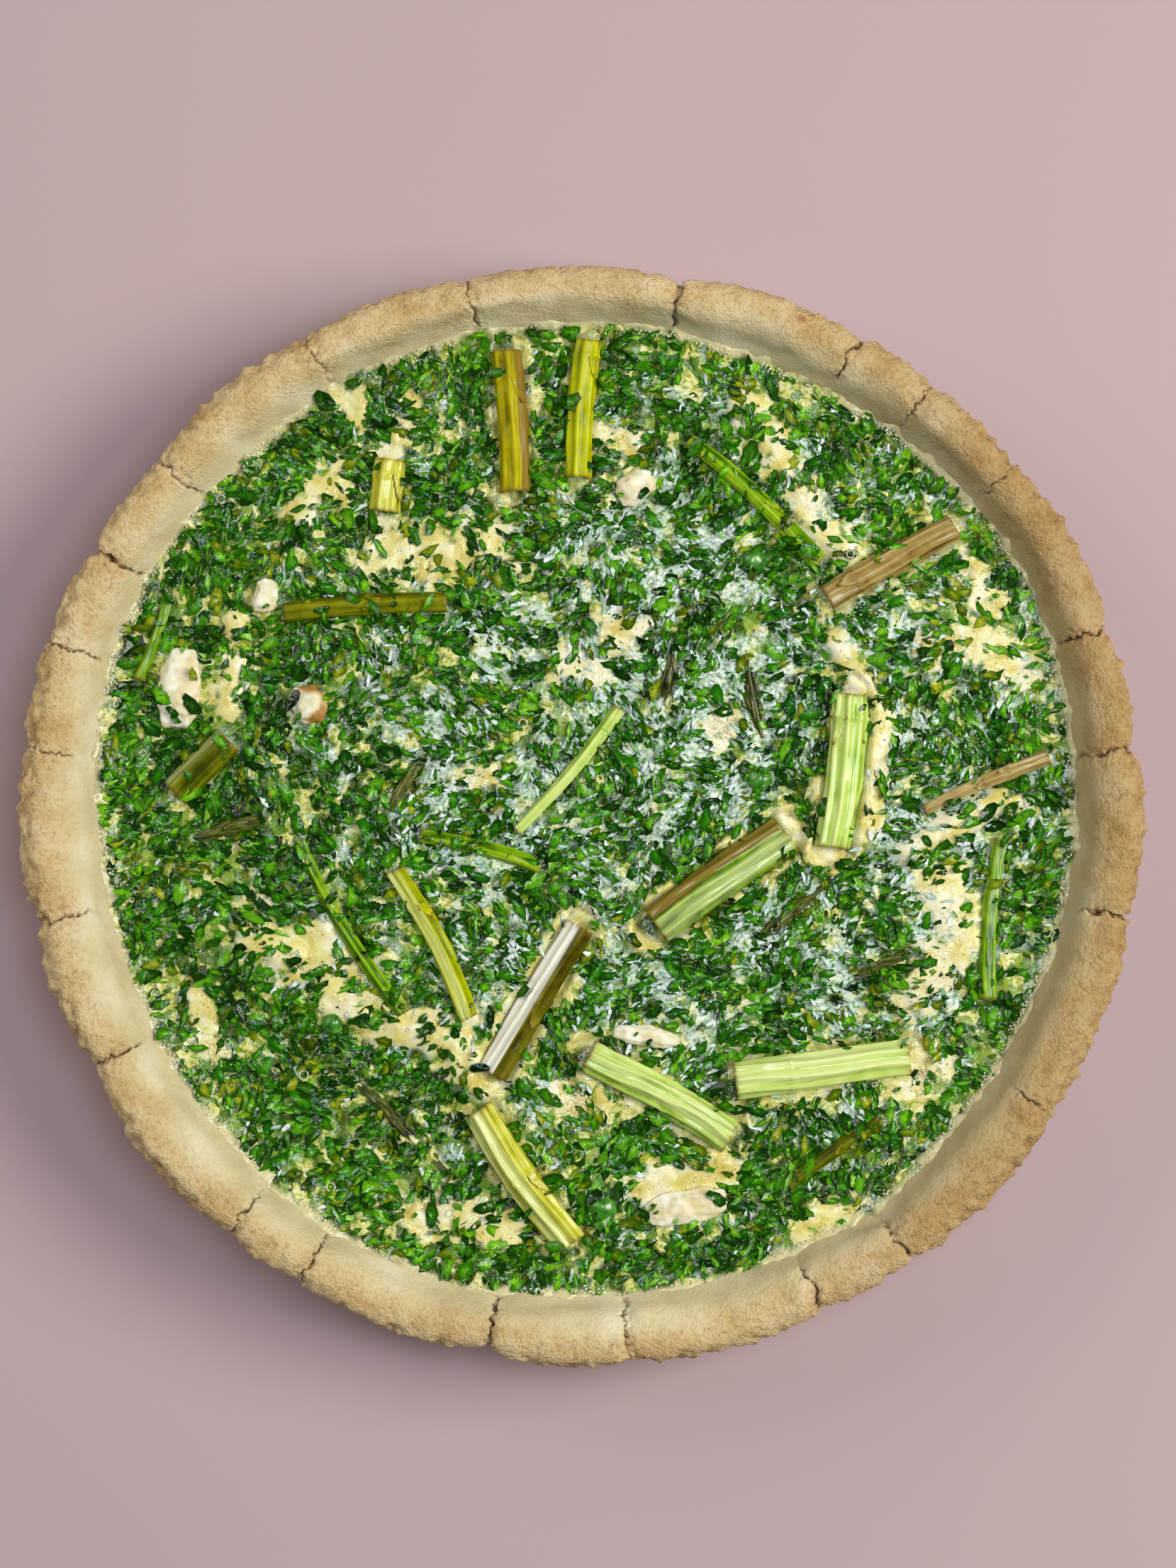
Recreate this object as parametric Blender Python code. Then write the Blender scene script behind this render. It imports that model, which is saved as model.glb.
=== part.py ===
"""Asparagus and herb quiche: a thick pastry case with a cracked, crumbly rim, a set egg filling full of
chopped herbs, and pieces of asparagus, peas and soft cheese sunk into it.

Metres, +Z up. The origin is the middle of the flat base, and the quiche stands on z = 0.
"""

import math
import random
from collections import namedtuple

import bmesh
import bpy
from mathutils import Matrix, Vector, noise
from mathutils.geometry import delaunay_2d_cdt

MM = 0.001

# Pastry case
RIM_RADIUS = 138.6 * MM
BASE_RADIUS = 112 * MM
BASE_EDGE = 3 * MM  # rounding between the base and the outer wall
RIM_HEIGHT = 40 * MM
FLOOR_THICKNESS = 6 * MM
LEVEL = 28 * MM  # the filling's mean surface
WALL_TOP_RADIUS = 121.5 * MM  # inner face of the case at the filling's level
WALL_FOOT_RADIUS = 110 * MM  # inner face of the case at its floor
SHOULDER = LEVEL + 2.2 * MM  # where the inner face turns outward to the rim
HIDDEN_EDGE = LEVEL - 2 * MM  # below this the wall is covered by the filling
THICK_SIDE = math.radians(260)  # the side where the rim is thicker, towards the middle
THICKENING = 1.6 * MM
WALL_WAVER = 1.5 * MM
OVALITY = 1.4 * MM  # the quiche is this much wider than round from left to right
OUTLINE_WAVER = 0.9 * MM
RAGGEDNESS = 0.5 * MM
BULGE = 1.5 * MM  # how far a stretch of rim swells out between its cracks
WIDE_STRETCH = 14  # degrees; a narrower stretch swells less
TOP_WAVER = 0.7 * MM
LOWEST_STRETCH = -1.0 * MM  # a stretch of rim stands between this and the next from the mean
HIGHEST_STRETCH = 0.8 * MM
STRETCH_ROUNDING = 0.3  # how soon a stretch reaches its own height past a crack
COLUMN_SPACING = math.radians(5.2)
CRACK_HALF_WIDTH = math.radians(0.42)
CRACK_WANDER = 0.55  # degrees that a crack strays to either side
CRUMB = 0.45 * MM  # unevenness of the rim's surface

# The rolled rim's section, from the outer wall over the crest: mm in from its outermost radius, and
# mm below its top
RIM_SECTION = [(6.6, 12.5), (1.6, 8.4), (0, 5.0), (1.5, 1.9), (4.6, 0), (8.6, 0.5)]
INNER_LIP = (4.4, 2.6)  # mm out from the wall, and mm below the top, where the rim turns down inside
INNER_SLOPE = (2.6, 2.6)  # mm out from the wall, and mm above the shoulder

# Each crack across the rim: its angle in degrees, and its depth
CRACKS = [
    (6.6, 2.2 * MM),
    (19.5, 2.0 * MM),
    (38.7, 1.1 * MM),
    (50.8, 1.3 * MM),
    (59.9, 1.8 * MM),
    (79.6, 3.4 * MM),
    (102.4, 2.0 * MM),
    (120.4, 1.5 * MM),
    (140.3, 1.9 * MM),
    (151.8, 2.4 * MM),
    (162.3, 1.8 * MM),
    (173.5, 1.1 * MM),
    (191.4, 2.6 * MM),
    (207.3, 2.4 * MM),
    (229.7, 1.3 * MM),
    (238.6, 2.0 * MM),
    (259.8, 2.6 * MM),
    (274.8, 2.6 * MM),
    (295.6, 2.0 * MM),
    (306.2, 2.4 * MM),
    (327.1, 1.2 * MM),
    (349.1, 2.4 * MM),
]

# Thumb marks pressed into the inner side of the rim: angle in degrees, and depth
THUMB_MARKS = [
    (-52, 2.2 * MM),
    (-32, 1.6 * MM),
    (-18, 2.2 * MM),
    (-2, 2.6 * MM),
    (12, 2.4 * MM),
    (29, 2.2 * MM),
    (46, 1.6 * MM),
    (70, 1.8 * MM),
    (118, 1.0 * MM),
    (214, 1.2 * MM),
    (250, 1.6 * MM),
    (284, 1.2 * MM),
]
THUMB_HALF_WIDTH = math.radians(6.5)
THUMB_AT_LIP = 0.7  # share of a mark's depth that reaches the rim's inner lip
THUMB_AT_SHOULDER = 0.25

# Filling
GAP = 0.4 * MM  # clearance between a piece and what it is set into
FILLING_COLUMNS = 72
FILLING_SPACING = 8.4 * MM
FILLING_STRAY = 1.1 * MM
EDGE_CLEARANCE = 0.6  # least distance from the edge, in spacings
ROW_PITCH = math.sin(math.radians(60))  # between the rows of a honeycomb, in spacings
SWELL_HEIGHT = 0.9 * MM
SWELL_SIZE = 38 * MM
BUMP_HEIGHT = 1.0 * MM
BUMP_SIZE = 5.3 * MM
MENISCUS = 1.2 * MM  # how far the filling climbs the pastry
MENISCUS_START = 0.94  # share of the wall's radius
FILLING_EDGE = LEVEL + MENISCUS / 2
FLAKE_SPACING = 15.5 * MM
FLAKE_STRAY = 3.5 * MM
FLAKE_LENGTH = 7.0 * MM
FLAKE_WIDTH = 5.0 * MM
FLAKE_THICKNESS = 0.8 * MM
FLAKE_CORNERS = 5
CLEARANCE = 1.2 * MM  # between a herb leaf and the pieces beside it
FLAKE_WAVE = 0.35 * MM
FLAKE_RISE = 0.55 * MM  # its middle above the custard
FLAKE_TILT = (16, 32)  # degrees
FLAKE_CORNER_STRAY = 0.2  # in corner spacings
FLAKE_TORN = (0.8, 1.1)  # a corner's distance from the middle, as a share of a whole leaf's

# Plain custard that stands proud of the herbs in long folds: points in mm, width and height
Fold = namedtuple("Fold", "points width height")
FOLDS = [
    Fold([(-87, 49), (-89, 27)], 6 * MM, 1.3 * MM),
    Fold([(-64, -47), (-46, -54), (-31, -56), (-28, -68)], 9 * MM, 1.8 * MM),
    Fold([(63, 43), (68, 34), (75, 28), (72, 5), (70, -6)], 6 * MM, 2.0 * MM),
    Fold([(81, -9), (105, 3)], 6 * MM, 1.6 * MM),
    Fold([(39, 104), (48, 93), (58, 74), (64, 67)], 8 * MM, 1.4 * MM),
    Fold([(90, -17), (94, -32), (84, -45)], 11 * MM, 0.9 * MM),
    Fold([(-84, -31), (-74, -36)], 8 * MM, 1.6 * MM),
]

# Asparagus: ends in mm on the surface, width in mm, sideways bow in mm, form, and finish
Spear = namedtuple("Spear", "name start end width bow form finish")
SPEARS = [
    Spear("spear_top_left", (-19.5, 115.8), (-17.3, 80.4), 8.3, 0.6, "stalk", "olive"),
    Spear("spear_top_middle", (1.1, 118.4), (-1.4, 84.0), 7.2, -0.8, "stalk", "yellow_green"),
    Spear("spear_upper_short", (-48.4, 88.5), (-50.0, 75.4), 8.6, 0.0, "stalk", "yellow_green"),
    Spear("spear_upper_right", (26.3, 93.5), (59.0, 62.7), 5.8, 1.2, "shoot", "green"),
    Spear("spear_right_roasted", (60.8, 53.8), (92.8, 71.6), 7.2, 0.5, "stalk", "roasted"),
    Spear("spear_left", (-75.0, 50.0), (-34.3, 52.7), 6.2, 0.8, "stalk", "olive"),
    Spear("spear_left_short", (-102.2, 5.0), (-88.8, 18.4), 9.0, 0.0, "stalk", "olive"),
    Spear("spear_centre_thin", (-17.0, -4.5), (8.8, 26.3), 4.2, -1.0, "shoot", "pale_green"),
    Spear("spear_right_thick", (66.5, 29.8), (61.8, -8.6), 9.8, 1.2, "stalk", "yellow_green"),
    Spear("spear_middle_thick", (18.0, -28.2), (50.5, -5.2), 10.6, 0.4, "stalk", "green"),
    Spear("spear_centre_left", (-47.4, -14.3), (-28.8, -51.3), 6.2, 1.6, "stalk", "yellow_green"),
    Spear("spear_left_long", (-71.1, -6.8), (-44.9, -50.0), 4.6, -2.0, "shoot", "green"),
    Spear("spear_centre_split", (-1.1, -28.2), (-23.1, -65.0), 8.8, 0.0, "stalk", "olive"),
    Spear("spear_lower_right", (37.7, -66.9), (81.1, -60.8), 10.2, 0.0, "stalk", "pale_green"),
    Spear("spear_lower_middle", (1.1, -60.6), (36.6, -81.0), 9.2, 0.8, "stalk", "pale_green"),
    Spear("spear_lower_left", (-26.4, -74.0), (-3.2, -107.4), 9.2, -1.0, "stalk", "yellow_green"),
    Spear("spear_far_right", (104.5, -6.4), (101.1, -46.6), 5.2, -1.4, "shoot", "green"),
    Spear("spear_right_thin", (85.1, 0.8), (116.2, 14.0), 4.6, 0.6, "shoot", "roasted"),
    Spear("spear_low_right_thin", (51.1, -93.1), (74.3, -77.4), 4.4, 0.8, "shoot", "olive"),
    Spear("spear_sunk", (-41.1, -5.7), (-10.7, -13.4), 4.8, 1.0, "shoot", "green"),
    Spear("tip_lower_left", (-73.1, -54.5), (-34.1, -90.2), 4.8, 1.4, "tip", "charred"),
    Spear("tip_left", (-101.3, -7.5), (-79.7, -1.6), 5.0, 0.4, "tip", "charred"),
    Spear("tip_far_left", (-112.2, -14.3), (-96.7, -13.8), 3.6, 0.0, "tip", "charred"),
    Spear("tip_centre_left", (-50.4, -3.4), (-39.3, 15.4), 4.6, 0.4, "tip", "charred"),
    Spear("tip_upper_middle", (23.2, 44.3), (19.3, 27.0), 4.6, 0.3, "tip", "charred"),
    Spear("tip_upper_right", (39.7, 47.5), (44.9, 18.8), 5.2, -0.6, "tip", "charred"),
    Spear("tip_centre_right", (40.4, -34.3), (60.6, -18.5), 4.8, 0.5, "tip", "charred"),
    Spear("tip_right", (64.0, -42.7), (81.0, -35.2), 4.4, 0.4, "tip", "charred"),
]
THICK_SPEAR = 7.0  # mm; from this width on a spear has more sides
THICK_SIDES = 8
THIN_SIDES = 6
SPEAR_FLATTENING = 0.84  # baked spears are a little lower than they are wide
# Width along the spear, from its start to its end, as shares of the full width
SPEAR_FORMS = {
    "stalk": [0.96, 1.0, 0.98, 0.97],
    "shoot": [0.74, 0.86, 0.94, 1.0],
    "tip": [0.24, 0.84, 1.0, 0.66],
}
SPEAR_LIFT = {"stalk": 0.10, "shoot": 0.04, "tip": -0.28}  # axis above the filling, in widths

Lump = namedtuple("Lump", "name place size turn")
CHEESE = [
    Lump("cheese_left", (-101.3, 30.9), (11.0, 20.0, 8.0), -8),
    Lump("cheese_left_cube", (-79.6, 54.2), (6.4, 9.4, 7.5), -15),
    Lump("cheese_browned", (-68.8, 27.0), (8.6, 10.0, 8.0), 12),
    Lump("cheese_top", (13.0, 81.8), (11.0, 7.6, 6.0), 38),
    Lump("cheese_lower", (15.5, -55.6), (17.0, 5.0, 6.0), -9),
    Lump("cheese_bottom", (26.1, -98.2), (21.0, 9.0, 5.0), 12),
]
LUMP_BEVEL = 0.22  # share of the block that its rounded corners take
LUMP_DEPTH = 0.06  # its middle below the filling, in heights
LUMP_UNEVENNESS = [(0.88, 1.06), (0.88, 1.06), (0.9, 1.05)]  # least and greatest share along X, Y, Z
CORNER_GROWTH = 1.3  # a corner moves this much further than a face for the same clearance
PEAS = [
    ("pea_upper_right", (42.5, 63.4), 7.4),
    ("pea_right", (44.0, 8.6), 7.2),
    ("pea_bottom", (4.5, -98.6), 8.8),
    ("pea_left", (-62.8, -52.6), 6.6),
]
PEA_DEPTH = 0.25  # its middle below the filling, in radii
LEAF_STRIP = Spear("leaf_left", (-104.0, 54.3), (-111.4, 33.4), 3.6, 0.6, "shoot", "leaf")

# Colour as sRGB hex, and roughness
FINISHES = {
    "crust": ("d2b784", 0.85),
    "filling": ("5c8a34", 0.35),
    "yellow_green": ("b5ba2e", 0.4),
    "olive": ("8f8a14", 0.4),
    "green": ("6f9a2c", 0.4),
    "pale_green": ("c3d987", 0.4),
    "roasted": ("927a3c", 0.5),
    "charred": ("534c22", 0.5),
    "leaf": ("2f6a2c", 0.35),
    "cheese": ("eee7c0", 0.5),
    "pea": ("2f7a1c", 0.3),
}


def material(finish):
    """The finish's own material, made once."""
    if finish in bpy.data.materials:
        return bpy.data.materials[finish]
    code, roughness = FINISHES[finish]
    srgb = [int(code[i : i + 2], 16) / 255 for i in (0, 2, 4)]
    linear = [c / 12.92 if c <= 0.04045 else ((c + 0.055) / 1.055) ** 2.4 for c in srgb]
    made = bpy.data.materials.new(finish)
    made.use_nodes = True
    shader = made.node_tree.nodes["Principled BSDF"]
    shader.inputs["Base Color"].default_value = (*linear, 1)
    shader.inputs["Roughness"].default_value = roughness
    return made


def add_object(name, shape, finish, collection=None):
    """An object holding the bmesh, with triangles throughout and faces pointing out."""
    bmesh.ops.triangulate(shape, faces=shape.faces)
    bmesh.ops.recalc_face_normals(shape, faces=shape.faces)
    mesh = bpy.data.meshes.new(name)
    shape.to_mesh(mesh)
    shape.free()
    made = bpy.data.objects.new(name, mesh)
    made.data.materials.append(material(finish))
    (collection or bpy.context.scene.collection).objects.link(made)
    return made


def loft(rings):
    """A bmesh tube through rings of points, its two ends closed by a flat face."""
    shape = bmesh.new()
    loops = [[shape.verts.new(p) for p in ring] for ring in rings]
    for lower, upper in zip(loops, loops[1:]):
        for i in range(len(lower)):
            j = (i + 1) % len(lower)
            shape.faces.new((lower[i], lower[j], upper[j], upper[i]))
    shape.faces.new(loops[0])
    shape.faces.new(loops[-1])
    return shape


def ripple(angle, seed, sharpness=1.6):
    """Smooth noise round the quiche, from about -1 to 1, that meets itself after a full turn."""
    around = Vector((math.cos(angle), math.sin(angle), 0)) * sharpness
    return 2 * noise.noise(around + Vector((seed, 0, seed * 0.7)))


def smooth_step(share):
    share = min(1, max(0, share))
    return share * share * (3 - 2 * share)


def turn_between(a, b):
    """The smaller angle between two directions, in radians."""
    return abs((a - b + math.pi) % (2 * math.pi) - math.pi)


def wall_radius(angle, height):
    """Inner face of the pastry case, from its floor to the filling's level."""
    up = (height - FLOOR_THICKNESS) / (LEVEL - FLOOR_THICKNESS)
    outward = WALL_WAVER * ripple(angle, 3) - THICKENING * math.cos(angle - THICK_SIDE)
    return WALL_FOOT_RADIUS + (WALL_TOP_RADIUS - WALL_FOOT_RADIUS + outward) * up


def rim_outline(angle):
    """Outermost radius of the rim: slightly wider than long, with a bulge between cracks."""
    radius = RIM_RADIUS + OVALITY * math.cos(2 * angle) + OUTLINE_WAVER * ripple(angle, 8)
    return radius + segment_bulge(angle) + RAGGEDNESS * ripple(angle, 1, sharpness=14)


def segment_of(angle):
    """(index, share across, width) of the stretch of rim between two cracks."""
    angle = math.degrees(angle) % 360
    starts = [crack[0] for crack in CRACKS]
    index = sum(start <= angle for start in starts) - 1
    begin = starts[index] - (360 if index < 0 and angle < starts[0] else 0)
    end = starts[(index + 1) % len(starts)]
    width = (end - begin) % 360
    return index % len(starts), ((angle - begin) % 360) / width, width


def segment_bulge(angle):
    """How far a stretch of rim stands out past the mean outline, or in from it beside a crack."""
    _, share, width = segment_of(angle)
    return BULGE * (min(1, width / WIDE_STRETCH) * math.sqrt(math.sin(math.pi * share)) - 0.5)


def segment_lift(angle):
    """How much higher or lower than its neighbours a stretch of rim stands."""
    index, share, _ = segment_of(angle)
    own = random.Random(index + 40).uniform(LOWEST_STRETCH, HIGHEST_STRETCH)
    return own * math.sin(math.pi * share) ** STRETCH_ROUNDING + TOP_WAVER * ripple(angle, 5, sharpness=3)


def thumb_mark(angle):
    """How far the inner side of the rim is pressed outward here."""
    return sum(
        depth * smooth_step(1 - turn_between(angle, math.radians(centre)) / THUMB_HALF_WIDTH)
        for centre, depth in THUMB_MARKS
    )


def crust_profile(angle):
    """The case's outline at one angle, as (radius, height) from the base's edge over the rim to the floor."""
    rim = rim_outline(angle)
    top = RIM_HEIGHT + segment_lift(angle)
    lip = wall_radius(angle, LEVEL)
    pressed = thumb_mark(angle)
    outer = [(rim - inward * MM, top - down * MM) for inward, down in RIM_SECTION]
    return [
        (BASE_RADIUS, 0),
        (BASE_RADIUS + BASE_EDGE, BASE_EDGE),
        *outer,
        (lip + INNER_LIP[0] * MM + pressed * THUMB_AT_LIP, top - INNER_LIP[1] * MM),
        (lip + INNER_SLOPE[0] * MM + pressed, SHOULDER + INNER_SLOPE[1] * MM),
        (wall_radius(angle, SHOULDER) + pressed * THUMB_AT_SHOULDER, SHOULDER),
        (wall_radius(angle, HIDDEN_EDGE), HIDDEN_EDGE),
        (WALL_FOOT_RADIUS, FLOOR_THICKNESS),
    ]


CREST_STATION = 6  # the station of the profile at the rim's top
CRACKED_STATIONS = range(CREST_STATION - 3, CREST_STATION + 5)
CRUMBLY_STATIONS = range(CREST_STATION - 3, CREST_STATION + 3)
CRACK_FADE = 0.125  # a crack is this share shallower at each station away from the crest


def crust_columns():
    """(angle, crack depth, crack number) of each column: three at a crack, and even ones between."""
    columns = []
    for number, (degrees, depth) in enumerate(CRACKS):
        centre = math.radians(degrees)
        following = math.radians(CRACKS[(number + 1) % len(CRACKS)][0]) % (2 * math.pi)
        span = (following - centre) % (2 * math.pi)
        columns += [
            (centre - CRACK_HALF_WIDTH, 0, number),
            (centre, depth, number),
            (centre + CRACK_HALF_WIDTH, 0, number),
        ]
        between = max(1, round(span / COLUMN_SPACING) - 1)
        columns += [(centre + span * (i + 1) / (between + 1), 0, None) for i in range(between)]
    return columns


def inward(profile, station):
    """Unit direction into the pastry at a station of the profile, as (radius, height)."""
    before, after = profile[station - 1], profile[station + 1]
    along = Vector((after[0] - before[0], after[1] - before[1])).normalized()
    return -Vector((along.y, -along.x))


def build_crust():
    """The pastry case: a flat base, sloping wall and thick rolled rim, cracked across."""
    crumbs = random.Random(7)
    columns = crust_columns()
    rings = [[] for _ in crust_profile(0)]
    for angle, depth, number in columns:
        profile = crust_profile(angle)
        wander = random.Random(number)
        for station, (radius, height) in enumerate(profile):
            turned = angle
            if station in CRACKED_STATIONS and number is not None:
                turned += math.radians(wander.uniform(-CRACK_WANDER, CRACK_WANDER))
            if station in CRACKED_STATIONS and depth:
                fade = 1 - CRACK_FADE * abs(station - CREST_STATION)
                step = inward(profile, station) * depth * fade
                radius, height = radius + step.x, height + step.y
            elif station in CRUMBLY_STATIONS:
                radius += crumbs.uniform(-CRUMB, CRUMB)
                height += crumbs.uniform(-CRUMB, CRUMB)
            rings[station].append(
                Vector((radius * math.cos(turned), radius * math.sin(turned), height))
            )
    return add_object("crust", loft(rings), "crust")


def distance_to_path(point, path):
    """Distance from a point to a run of straight stretches, all in metres."""
    nearest = math.inf
    for a, b in zip(path, path[1:]):
        along = b - a
        share = min(1, max(0, (point - a).dot(along) / along.length_squared))
        nearest = min(nearest, (point - a - along * share).length)
    return nearest


def fold_height(point):
    """Height that the custard's folds add here."""
    height = 0
    for fold in FOLDS:
        away = distance_to_path(point, [Vector(p) * MM for p in fold.points]) / fold.width
        height = max(height, fold.height * smooth_step((0.75 - away) / 0.6))
    return height


def surface_height(x, y):
    """The filling's surface, without the fine bumps."""
    point = Vector((x, y))
    angle = math.atan2(y, x)
    swell = SWELL_HEIGHT * noise.noise(Vector((x, y, 0)) / SWELL_SIZE)
    edge = point.length / wall_radius(angle, LEVEL)
    climb = MENISCUS * smooth_step((edge - MENISCUS_START) / (1 - MENISCUS_START))
    return LEVEL + swell + climb + fold_height(point)


def bumpy_height(x, y):
    """The filling's surface with bumps the size of the chopped herbs."""
    bumps = noise.noise(Vector((x, y, BUMP_SIZE)) / BUMP_SIZE)
    return surface_height(x, y) + BUMP_HEIGHT * bumps


def filling_side_radius(angle, height):
    """Radius of the filling's side, clear of the case by the gap."""
    return wall_radius(angle, height) - GAP


def honeycomb(spacing, stray, draw):
    """Points in even rows over the quiche, each moved a little at random."""
    rows = round(WALL_TOP_RADIUS / spacing / ROW_PITCH)
    for row in range(-rows, rows + 1):
        for column in range(-rows, rows + 1):
            moved = Vector((draw.uniform(-1, 1), draw.uniform(-1, 1))) * stray
            yield Vector((column + (row % 2) / 2, row * ROW_PITCH)) * spacing + moved


def filling_points():
    """Points of the filling's top: an edge ring, then an uneven honeycomb inside it."""
    angles = [2 * math.pi * i / FILLING_COLUMNS for i in range(FILLING_COLUMNS)]
    edge = [Vector((math.cos(a), math.sin(a))) * filling_side_radius(a, FILLING_EDGE) for a in angles]
    inside = []
    for point in honeycomb(FILLING_SPACING, FILLING_STRAY, random.Random(21)):
        angle = math.atan2(point.y, point.x)
        if point.length < filling_side_radius(angle, LEVEL) - EDGE_CLEARANCE * FILLING_SPACING:
            inside.append(point)
    return angles, edge, inside


def build_filling_core():
    """The filling as one thick disc that fits the case, with an uneven top."""
    angles, edge, inside = filling_points()
    count = len(edge)
    ring = [(i, (i + 1) % count) for i in range(count)]
    flat, _, faces, _, _, _ = delaunay_2d_cdt(edge + inside, ring, [], 1, 1e-7)
    shape = bmesh.new()
    heights = [FILLING_EDGE] * count + [bumpy_height(p.x, p.y) for p in flat[count:]]
    top = [shape.verts.new((p.x, p.y, height)) for p, height in zip(flat, heights)]
    for face in faces:
        shape.faces.new([top[i] for i in face])
    upper = top[:count]
    for height in (HIDDEN_EDGE, FLOOR_THICKNESS + GAP):
        radii = [filling_side_radius(a, height) for a in angles]
        lower = [
            shape.verts.new((r * math.cos(a), r * math.sin(a), height))
            for r, a in zip(radii, angles)
        ]
        for i, j in ring:
            shape.faces.new((upper[i], lower[i], lower[j], upper[j]))
        upper = lower
    shape.faces.new(upper)
    return add_object("filling", shape, "filling")


def spear_rings(spear, grow=0.0):
    """Rings of points along a spear; grow makes it that much larger all round, as for its bed."""
    start, end = (Vector(p) * MM for p in (spear.start, spear.end))
    along = (end - start).normalized()
    across = Vector((-along.y, along.x))
    start, end = start - along * grow, end + along * grow
    shares = SPEAR_FORMS[spear.form]
    width = spear.width * MM
    sides = THICK_SIDES if spear.width >= THICK_SPEAR else THIN_SIDES
    rings = []
    for i, share in enumerate(shares):
        t = i / (len(shares) - 1)
        centre = start.lerp(end, t) + across * spear.bow * MM * math.sin(math.pi * t)
        height = surface_height(centre.x, centre.y) + SPEAR_LIFT[spear.form] * width
        ring = []
        for side in range(sides):
            turn = 2 * math.pi * (side + 0.5) / sides
            out = across * math.cos(turn) * (width / 2 * share + grow)
            rise = math.sin(turn) * (width / 2 * share * SPEAR_FLATTENING + grow)
            ring.append(Vector((centre.x + out.x, centre.y + out.y, height + rise)))
        rings.append(ring)
    return rings


def lump_shape(lump, grow=0.0):
    """A torn block of cheese, its corners rounded and its sides uneven, sunk halfway."""
    shape = bmesh.new()
    bmesh.ops.create_cube(shape, size=1)
    bmesh.ops.bevel(
        shape,
        geom=shape.edges,
        offset=LUMP_BEVEL,
        segments=1,
        profile=0.5,
        affect="EDGES",
        material=-1,
    )
    draw = random.Random(lump.name)
    size = Vector(lump.size) * MM
    x, y = (c * MM for c in lump.place)
    for vert in shape.verts:
        uneven = Vector([draw.uniform(*limits) for limits in LUMP_UNEVENNESS])
        direction = vert.co.normalized()
        vert.co = vert.co * size * uneven + direction * grow * CORNER_GROWTH
    place = Vector((x, y, surface_height(x, y) - LUMP_DEPTH * size.z))
    turned = Matrix.Translation(place) @ Matrix.Rotation(math.radians(lump.turn), 4, "Z")
    bmesh.ops.transform(shape, matrix=turned, verts=shape.verts)
    return shape


def pea_shape(place, width, grow=0.0):
    """A pea, sunk a little more than halfway."""
    x, y = (c * MM for c in place)
    radius = width / 2 * MM
    shape = bmesh.new()
    bmesh.ops.create_icosphere(shape, subdivisions=2, radius=radius + grow)
    height = surface_height(x, y) - PEA_DEPTH * radius
    bmesh.ops.translate(shape, vec=(x, y, height), verts=shape.verts)
    return shape


def set_pieces():
    """(name, finish, function that gives the shape) of each piece sunk into the filling."""
    pieces = []
    for spear in SPEARS + [LEAF_STRIP]:
        pieces.append((spear.name, spear.finish, lambda grow=0.0, s=spear: loft(spear_rings(s, grow))))
    for lump in CHEESE:
        pieces.append((lump.name, "cheese", lambda grow=0.0, s=lump: lump_shape(s, grow)))
    for name, place, width in PEAS:
        pieces.append((name, "pea", lambda grow=0.0, p=place, w=width: pea_shape(p, w, grow)))
    return pieces


def clear_of_pieces(point):
    """True where a herb flake touches no spear, lump or pea."""
    reach = FLAKE_LENGTH / 2 + CLEARANCE
    for spear in SPEARS + [LEAF_STRIP]:
        ends = [Vector(spear.start) * MM, Vector(spear.end) * MM]
        bow = abs(spear.bow) * MM
        if distance_to_path(point, ends) < spear.width / 2 * MM + bow + reach:
            return False
    for lump in CHEESE:
        if (point - Vector(lump.place) * MM).length < max(lump.size[:2]) / 2 * MM + reach:
            return False
    return all((point - Vector(p) * MM).length > w / 2 * MM + reach for _, p, w in PEAS)


def flake_shape(draw, point):
    """One torn leaf of herb: a thin wavy blade, tilted and partly sunk in the custard."""
    top, bottom = [], []
    shape = bmesh.new()
    for i in range(FLAKE_CORNERS):
        turn = 2 * math.pi * (i + draw.uniform(-FLAKE_CORNER_STRAY, FLAKE_CORNER_STRAY)) / FLAKE_CORNERS
        out = Vector((math.cos(turn) * FLAKE_LENGTH / 2, math.sin(turn) * FLAKE_WIDTH / 2, 0))
        wave = draw.uniform(-FLAKE_WAVE, FLAKE_WAVE)
        out *= draw.uniform(*FLAKE_TORN)
        top.append(shape.verts.new(out + Vector((0, 0, wave + FLAKE_THICKNESS / 2))))
        bottom.append(shape.verts.new(out + Vector((0, 0, wave - FLAKE_THICKNESS / 2))))
    crown = shape.verts.new((0, 0, FLAKE_THICKNESS))
    root = shape.verts.new((0, 0, 0))
    for i in range(FLAKE_CORNERS):
        j = (i + 1) % FLAKE_CORNERS
        shape.faces.new((crown, top[i], top[j]))
        shape.faces.new((root, bottom[j], bottom[i]))
        shape.faces.new((top[i], bottom[i], bottom[j], top[j]))
    tilt = Matrix.Rotation(math.radians(draw.uniform(*FLAKE_TILT)), 4, "X")
    heading = Matrix.Rotation(draw.uniform(0, 2 * math.pi), 4, "Z")
    height = bumpy_height(point.x, point.y) + FLAKE_RISE
    place = Matrix.Translation((point.x, point.y, height))
    bmesh.ops.transform(shape, matrix=place @ heading @ tilt, verts=shape.verts)
    return shape


def build_flakes(collection):
    """The largest herb leaves, spread evenly over the filling where nothing else lies."""
    draw = random.Random(5)
    for point in honeycomb(FLAKE_SPACING, FLAKE_STRAY, draw):
        inside = point.length < WALL_TOP_RADIUS - FLAKE_LENGTH
        if inside and clear_of_pieces(point) and fold_height(point) < 0.1 * MM:
            add_object("flake", flake_shape(draw, point), "leaf", collection)


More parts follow.
